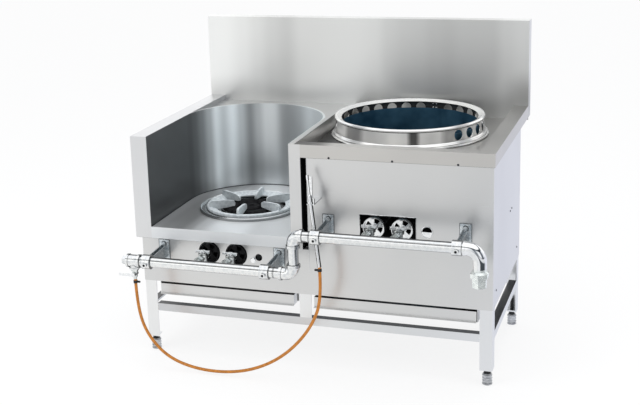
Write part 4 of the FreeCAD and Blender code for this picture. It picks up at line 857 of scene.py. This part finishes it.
@dataclass
class Manifold:
    """Small parts of the gas manifold and its cocks."""

    materials: Materials
    cock_y: float = -52
    lever_top: float = 24.3
    screw_head: Profile = ((0, 1.6), (2, 1.6), (3.4, 1), (3.8, 0))
    groove: Profile = ((0, -1.2), (0.6, 0), (0, 1.2))
    gland_radius: float = 13.9
    gland_heights: Tuple[float, float] = (12.5, -14)
    barrel_radius: float = 10.9
    barrel_ends: Tuple[float, float] = (-71, -35)
    plug_cap: Profile = ((0, 0.6), (4.2, 0.6), (4.6, 0))
    cap_y: float = -66
    cap_drop: float = 1
    brackets: Tuple[Tuple[float, float], ...] = ((100, 368), (505, 368), (674, 494), (1111, 494))
    clamp_face: float = -157.6
    clamp_drop: float = 4
    clamp_socket: Profile = ((0, 0.3), (4.1, 0.3), (4.1, 0))
    plate_y: float = 1.6
    plate_bead: float = 0.8
    plate_edge: Tuple[Tuple[float, float], ...] = ((-18.6, -33.6), (-18.6, 33.6), (18.6, 33.6), (18.6, -33.6))
    bolt_seat: Profile = ((0, 0.4), (8.8, 0.4), (9.2, 0))
    seat_y: float = 1.5
    seat_rise: float = 19
    pipe_y: float = -130
    threads: Tuple[Tuple[float, float], ...] = ((82, 368), (533, 368), (653, 494), (1132, 494))
    thread_turn: Profile = ((16.9, -0.6), (17.5, 0), (16.9, 0.6))
    thread_steps: Tuple[float, ...] = (0, 2, 4)

    def build(self) -> None:
        """Dress the whole manifold."""
        self.lever_screws()
        self.cock_grooves()
        self.clamp_sockets()
        self.bracket_edges()
        self.pipe_threads()

    def lever_screws(self) -> None:
        """Domed screw on top of each cock lever's hub."""
        for train, (x, z) in COCK_PLACES.items():
            piece = MeshPiece("lever_screw_" + train, "nickel_brass", "brass", "cock_lever_" + train)
            place = local(x, self.cock_y, z + self.lever_top)
            piece.lathe(self.screw_head, place, Axis.Z.value, steps=16)
            piece.close(self.materials)

    def cock_grooves(self) -> None:
        """Shadowed grooves of the gas cocks: round the gland, round the barrel and in the plug's cap."""
        piece = MeshPiece("cock_grooves", "black_plastic", "brass")
        gland = [(self.gland_radius + out, up) for out, up in self.groove]
        barrel = [(self.barrel_radius + out, up) for out, up in self.groove]
        for x, z in COCK_PLACES.values():
            for height in self.gland_heights:
                piece.lathe(gland, local(x, self.cock_y, z + height), Axis.Z.value, steps=32)
            for y in self.barrel_ends:
                piece.lathe(barrel, local(x, y, z), Axis.FRONT.value, steps=32)
            place = local(x, self.cap_y, z - self.cap_drop)
            piece.lathe(self.plug_cap, place, Axis.FRONT.value, steps=20)
        piece.close(self.materials)

    def clamp_sockets(self) -> None:
        """Painted shade: dark discs in the bottoms of the clamp bolts' hexagon sockets."""
        piece = MeshPiece("clamp_sockets", "soot_board", "zinc_pipe")
        for x, z in self.brackets:
            place = local(x, self.clamp_face, z - self.clamp_drop)
            piece.lathe(self.clamp_socket, place, Axis.FRONT.value, steps=6)
        piece.close(self.materials)

    def bracket_edges(self) -> None:
        """Painted shadow lines along the bracket plates' edges, and painted shade on the seats of their bolts.
        """
        piece = MeshPiece("bracket_edges", "screw_dark", "zinc_plate")
        for x, z in self.brackets:
            corners = [local(x + across, self.plate_y, z + up) for across, up in self.plate_edge]
            for a, b in zip(corners, corners[1:]):
                piece.edge(a, b, self.plate_bead)
            place = local(x, self.seat_y, z + self.seat_rise)
            piece.lathe(self.bolt_seat, place, Axis.FRONT.value, steps=24)
        piece.close(self.materials)

    def pipe_threads(self) -> None:
        """Last turns of pipe thread that stay outside the fittings."""
        piece = MeshPiece("pipe_threads", "screw_dark", "zinc_pipe")
        for x, z in self.threads:
            for step in self.thread_steps:
                piece.lathe(self.thread_turn, local(x + step, self.pipe_y, z), Axis.X.value, steps=40)
        piece.close(self.materials)


@dataclass
class LighterHose:
    """The lighter's rubber hose, hung from the cock under the tee to the torch on its hook."""

    materials: Materials
    route: Tuple[Point, ...] = (
        (53, -130, 306), (54, -130, 215), (80, -130, 120), (150, -131, 44), (255, -132, 12), (375, -132.5, 13),
        (480, -131, 43), (572, -128, 102), (648, -124, 192), (684, -115, 288), (673, -98, 386))

    def build(self) -> None:
        """Hang the hose as one smooth curve."""
        data = bpy.data.curves.new("lighter_hose_curve", "CURVE")
        data.dimensions = "3D"
        data.bevel_depth = 0.005
        data.bevel_resolution = 6
        data.resolution_u = 16
        data.use_fill_caps = True
        spline = data.splines.new("NURBS")
        spline.points.add(len(self.route) - 1)
        for point, place in zip(spline.points, self.route):
            point.co = (*local(*place), 1.0)
        spline.order_u = 3
        spline.use_endpoint_u = True
        hose = bpy.data.objects.new("hose_curve", data)
        bpy.context.scene.collection.objects.link(hose)
        data.materials.append(self.materials["hose_rubber"])
        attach(hose, MAIN_BODY)
        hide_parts("lighter_hose")
        LOG.info("hose_curve in hose_rubber rides on %s", MAIN_BODY)


# ---- studio


@dataclass(frozen=True)
class CameraPose:
    """A camera as fitted to straight edges: angles in degrees, position in local millimetres."""

    azimuth: float
    elevation: float
    roll: float
    position: Point
    focal_px: float
    centre_px: Tuple[float, float]
    frame_px: Tuple[int, int] = (640, 405)

    SENSOR = 36.0
    FAR = 200.0

    def place(self) -> None:
        """Make the scene's camera."""
        a, e, r = (math.radians(angle) for angle in (self.azimuth, self.elevation, self.roll))
        forward = Vector((-math.sin(a) * math.cos(e), math.cos(a) * math.cos(e), -math.sin(e)))
        right = Vector((math.cos(a), math.sin(a), 0))
        up = right.cross(forward)
        right_r = right * math.cos(r) + up * math.sin(r)
        up_r = up * math.cos(r) - right * math.sin(r)
        wide, high = self.frame_px
        data = bpy.data.cameras.new("photo_camera")
        data.sensor_width = self.SENSOR
        data.lens = self.focal_px / wide * self.SENSOR
        data.shift_x = (wide / 2 - self.centre_px[0]) / wide
        data.shift_y = (self.centre_px[1] - high / 2) / wide
        data.clip_end = self.FAR
        camera = bpy.data.objects.new("photo_camera", data)
        bpy.context.scene.collection.objects.link(camera)
        turn = Matrix((right_r, up_r, -forward)).transposed().to_4x4()
        camera.matrix_world = Matrix.Translation(local(*self.position)) @ turn
        bpy.context.scene.camera = camera


@dataclass(frozen=True)
class SoftBox:
    """A rectangular soft light: where it hangs, what it points at, width and height in metres, and watts."""

    name: str
    place: Point
    target: Point
    size: Tuple[float, float]
    power: float

    def hang(self) -> None:
        """Hang the light."""
        data = bpy.data.lights.new(self.name, "AREA")
        data.shape = "RECTANGLE"
        data.size, data.size_y = self.size
        data.energy = self.power
        light = bpy.data.objects.new(self.name, data)
        light.location = local(*self.place)
        light.rotation_mode = "QUATERNION"
        light.rotation_quaternion = (local(*self.target) - light.location).to_track_quat("-Z", "Y")
        light.visible_glossy = False
        bpy.context.scene.collection.objects.link(light)


class Studio:
    """Floor, soft lights and the surroundings that the metal reflects."""

    CAMERA = CameraPose(18.824, 13.754, -1.780, (1752.62, -3420.9, 1633.26), 1190.07, (299.35, 145.0))
    LIGHTS = (SoftBox("key_light", (-1500, -2600, 2600), (600, 300, 600), (2.4, 2.0), 30.0),
              SoftBox("top_light", (600, 200, 3200), (600, 300, 600), (2.6, 2.0), 24.0),
              SoftBox("side_light", (3600, -600, 1700), (1000, 300, 600), (2.0, 2.0), 12.0))

    FLOOR_SIZE = 30.0
    FLOOR_DROP = 0.5
    FLOOR_COLOUR = (0.93, 0.93, 0.93, 1.0)
    FLOOR_GLOW = 0.8
    FRONT_TONES: Tones = ((-3.0, 0.92, 0.93, 0.94), (-0.7, 0.98, 0.98, 0.97), (-0.3, 0.95, 0.95, 0.94),
                          (-0.05, 0.92, 0.92, 0.91), (0.1, 0.84, 0.85, 0.85), (0.22, 0.82, 0.83, 0.83),
                          (0.42, 0.88, 0.89, 0.91), (0.85, 0.90, 0.91, 0.93), (1.15, 0.06, 0.07, 0.08),
                          (1.9, 0.06, 0.07, 0.08), (2.4, 0.7, 0.72, 0.75), (4.0, 0.8, 0.81, 0.83))
    REAR_TONES: Tones = ((-3.0, 0.86, 0.87, 0.90), (0.4, 0.78, 0.80, 0.84), (0.9, 0.84, 0.86, 0.95),
                         (4.0, 0.86, 0.88, 0.96))
    REAR_FROM = -0.5
    REAR_TO = 0.2

    AROUND: Tones = ((-180, 1, 1, 1), (-150, 1, 1, 1), (-120, 0.7, 0.72, 0.75), (-60, 1, 1, 0.98),
                     (-30, 1, 1, 0.98), (-12, 0.9, 0.9, 0.9), (8, 0.6, 0.62, 0.64), (14, 0.2, 0.22, 0.24),
                     (24, 0.16, 0.18, 0.2), (32, 0.6, 0.62, 0.64), (50, 0.85, 0.86, 0.88),
                     (70, 0.12, 0.13, 0.15), (88, 0.1, 0.11, 0.13), (100, 0.7, 0.72, 0.76), (150, 1, 1, 1),
                     (180, 1, 1, 1))
    UPWARD: Tones = ((0, 0.6, 0.6, 0.62), (0.03, 0.5, 0.5, 0.52), (0.07, 0.9, 0.9, 0.9), (0.12, 1, 1, 1),
                     (0.5, 1, 1, 1), (0.56, 0.14, 0.15, 0.16), (0.66, 0.14, 0.15, 0.16), (0.72, 1, 1, 1),
                     (1, 0.95, 0.96, 0.98))
    CEILING_FROM = 0.66
    CEILING_TO = 0.74
    ROOM_POWER = 1.25
    EVEN_COLOUR = (0.92, 0.93, 0.95, 1.0)
    WHITE = (1.0, 1.0, 1.0, 1.0)

    def floor_material(self) -> bpy.types.Material:
        """Make the floor: near white to the camera, with a soft fall of tone in the metal's reflections.

        Returns:
            The material.
        """
        material = bpy.data.materials.new("studio_floor")
        material.use_nodes = True
        tree = material.node_tree
        tree.nodes.clear()
        matt = {"Base Color": self.FLOOR_COLOUR, "Roughness": 0.9, "Specular IOR Level": 0.1}
        shader = add(tree, "BsdfPrincipled", matt)
        path = add(tree, "LightPath")
        soft = either(tree, self.FLOOR_GLOW, shader, add(tree, "Emission"))
        seen = either(tree, path.outputs["Is Camera Ray"], shader, soft)
        coords = add(tree, "TexCoord")
        split = add(tree, "SeparateXYZ", {0: coords.outputs["Object"]})
        front = tone_ramp(tree, split.outputs["X"], self.FRONT_TONES)
        rear = tone_ramp(tree, split.outputs["X"], self.REAR_TONES)
        depth = {"Value": split.outputs["Y"], "From Min": self.REAR_FROM, "From Max": self.REAR_TO}
        share = add(tree, "MapRange", depth)
        blend = add(tree, "Mix", {"Factor": share.outputs["Result"], "A": front, "B": rear}, data_type="RGBA")
        mirrored = add(tree, "Emission", {"Color": blend.outputs["Result"]})
        final = either(tree, path.outputs["Is Glossy Ray"], seen, mirrored)
        add(tree, "OutputMaterial", {"Surface": final.outputs[0]})
        return material

    def floor(self) -> None:
        """Lay a large pale floor."""
        mesh = bmesh.new()
        bmesh.ops.create_grid(mesh, x_segments=4, y_segments=4, size=self.FLOOR_SIZE)
        data = bpy.data.meshes.new("studio_floor")
        mesh.to_mesh(data)
        mesh.free()
        data.materials.append(self.floor_material())
        floor = bpy.data.objects.new("studio_floor", data)
        floor.location.z = -self.FLOOR_DROP * MM
        bpy.context.scene.collection.objects.link(floor)

    def surroundings(self) -> None:
        """Make the world: white for the camera, a soft room with darker gaps for the metal."""
        world = bpy.data.worlds.new("studio_world")
        bpy.context.scene.world = world
        world.use_nodes = True
        tree = world.node_tree
        tree.nodes.clear()
        coords = add(tree, "TexCoord")
        split = add(tree, "SeparateXYZ", {0: coords.outputs["Generated"]})
        back = add(tree, "Math", {0: split.outputs["Y"], 1: -1.0}, operation="MULTIPLY")
        angle = add(tree, "Math", {0: split.outputs["X"], 1: back.outputs[0]}, operation="ARCTAN2")
        degrees = add(tree, "Math", {0: angle.outputs[0]}, operation="DEGREES")
        upward = tone_ramp(tree, split.outputs["Z"], self.UPWARD)
        wall = multiply(tree, tone_ramp(tree, degrees.outputs[0], self.AROUND), upward)
        height = {"Value": split.outputs["Z"], "From Min": self.CEILING_FROM, "From Max": self.CEILING_TO}
        share = add(tree, "MapRange", height)
        sky = add(tree, "Mix", {"Factor": share.outputs["Result"], "A": wall, "B": upward}, data_type="RGBA")
        room = add(tree, "Background", {"Color": sky.outputs["Result"], "Strength": self.ROOM_POWER})
        even = add(tree, "Background", {"Color": self.EVEN_COLOUR})
        white = add(tree, "Background", {"Color": self.WHITE})
        path = add(tree, "LightPath")
        glossy = either(tree, path.outputs["Is Glossy Ray"], even, room)
        final = either(tree, path.outputs["Is Camera Ray"], glossy, white)
        add(tree, "OutputWorld", {"Surface": final.outputs[0]})

    def build(self) -> None:
        """Set up the whole studio."""
        self.CAMERA.place()
        self.floor()
        self.surroundings()
        for light in self.LIGHTS:
            light.hang()
        bpy.context.scene.view_settings.view_transform = "Standard"


# ---- main


def dress_nodes(materials: Materials) -> None:
    """Give every CAD node its finish.

    Args:
        materials: the materials by name.
    """
    finish_of = {node: finish for finish, nodes in NODE_FINISH.items() for node in nodes}
    for name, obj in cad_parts.items():
        if name not in finish_of:
            LOG.warning("no finish for %s", name)
            continue
        if not obj.material_slots:
            obj.data.materials.append(None)
        for entry in obj.material_slots:
            entry.link = "OBJECT"
            entry.material = materials[finish_of[name]]
        LOG.info("%s dressed in %s", name, finish_of[name])


def main() -> None:
    """Dress the frame and set the studio."""
    logging.basicConfig(level=logging.INFO)
    library = GroupLibrary()
    materials = {finish.name: finish.build(library) for finish in FINISHES}
    Studio().build()
    dress_nodes(materials)
    for assembly in (LighterHose, Cabinet, StockBay, WokRing, Burners, Manifold):
        assembly(materials).build()
        LOG.info("%s is done", assembly.__name__)


if __name__ == "__main__":
    main()
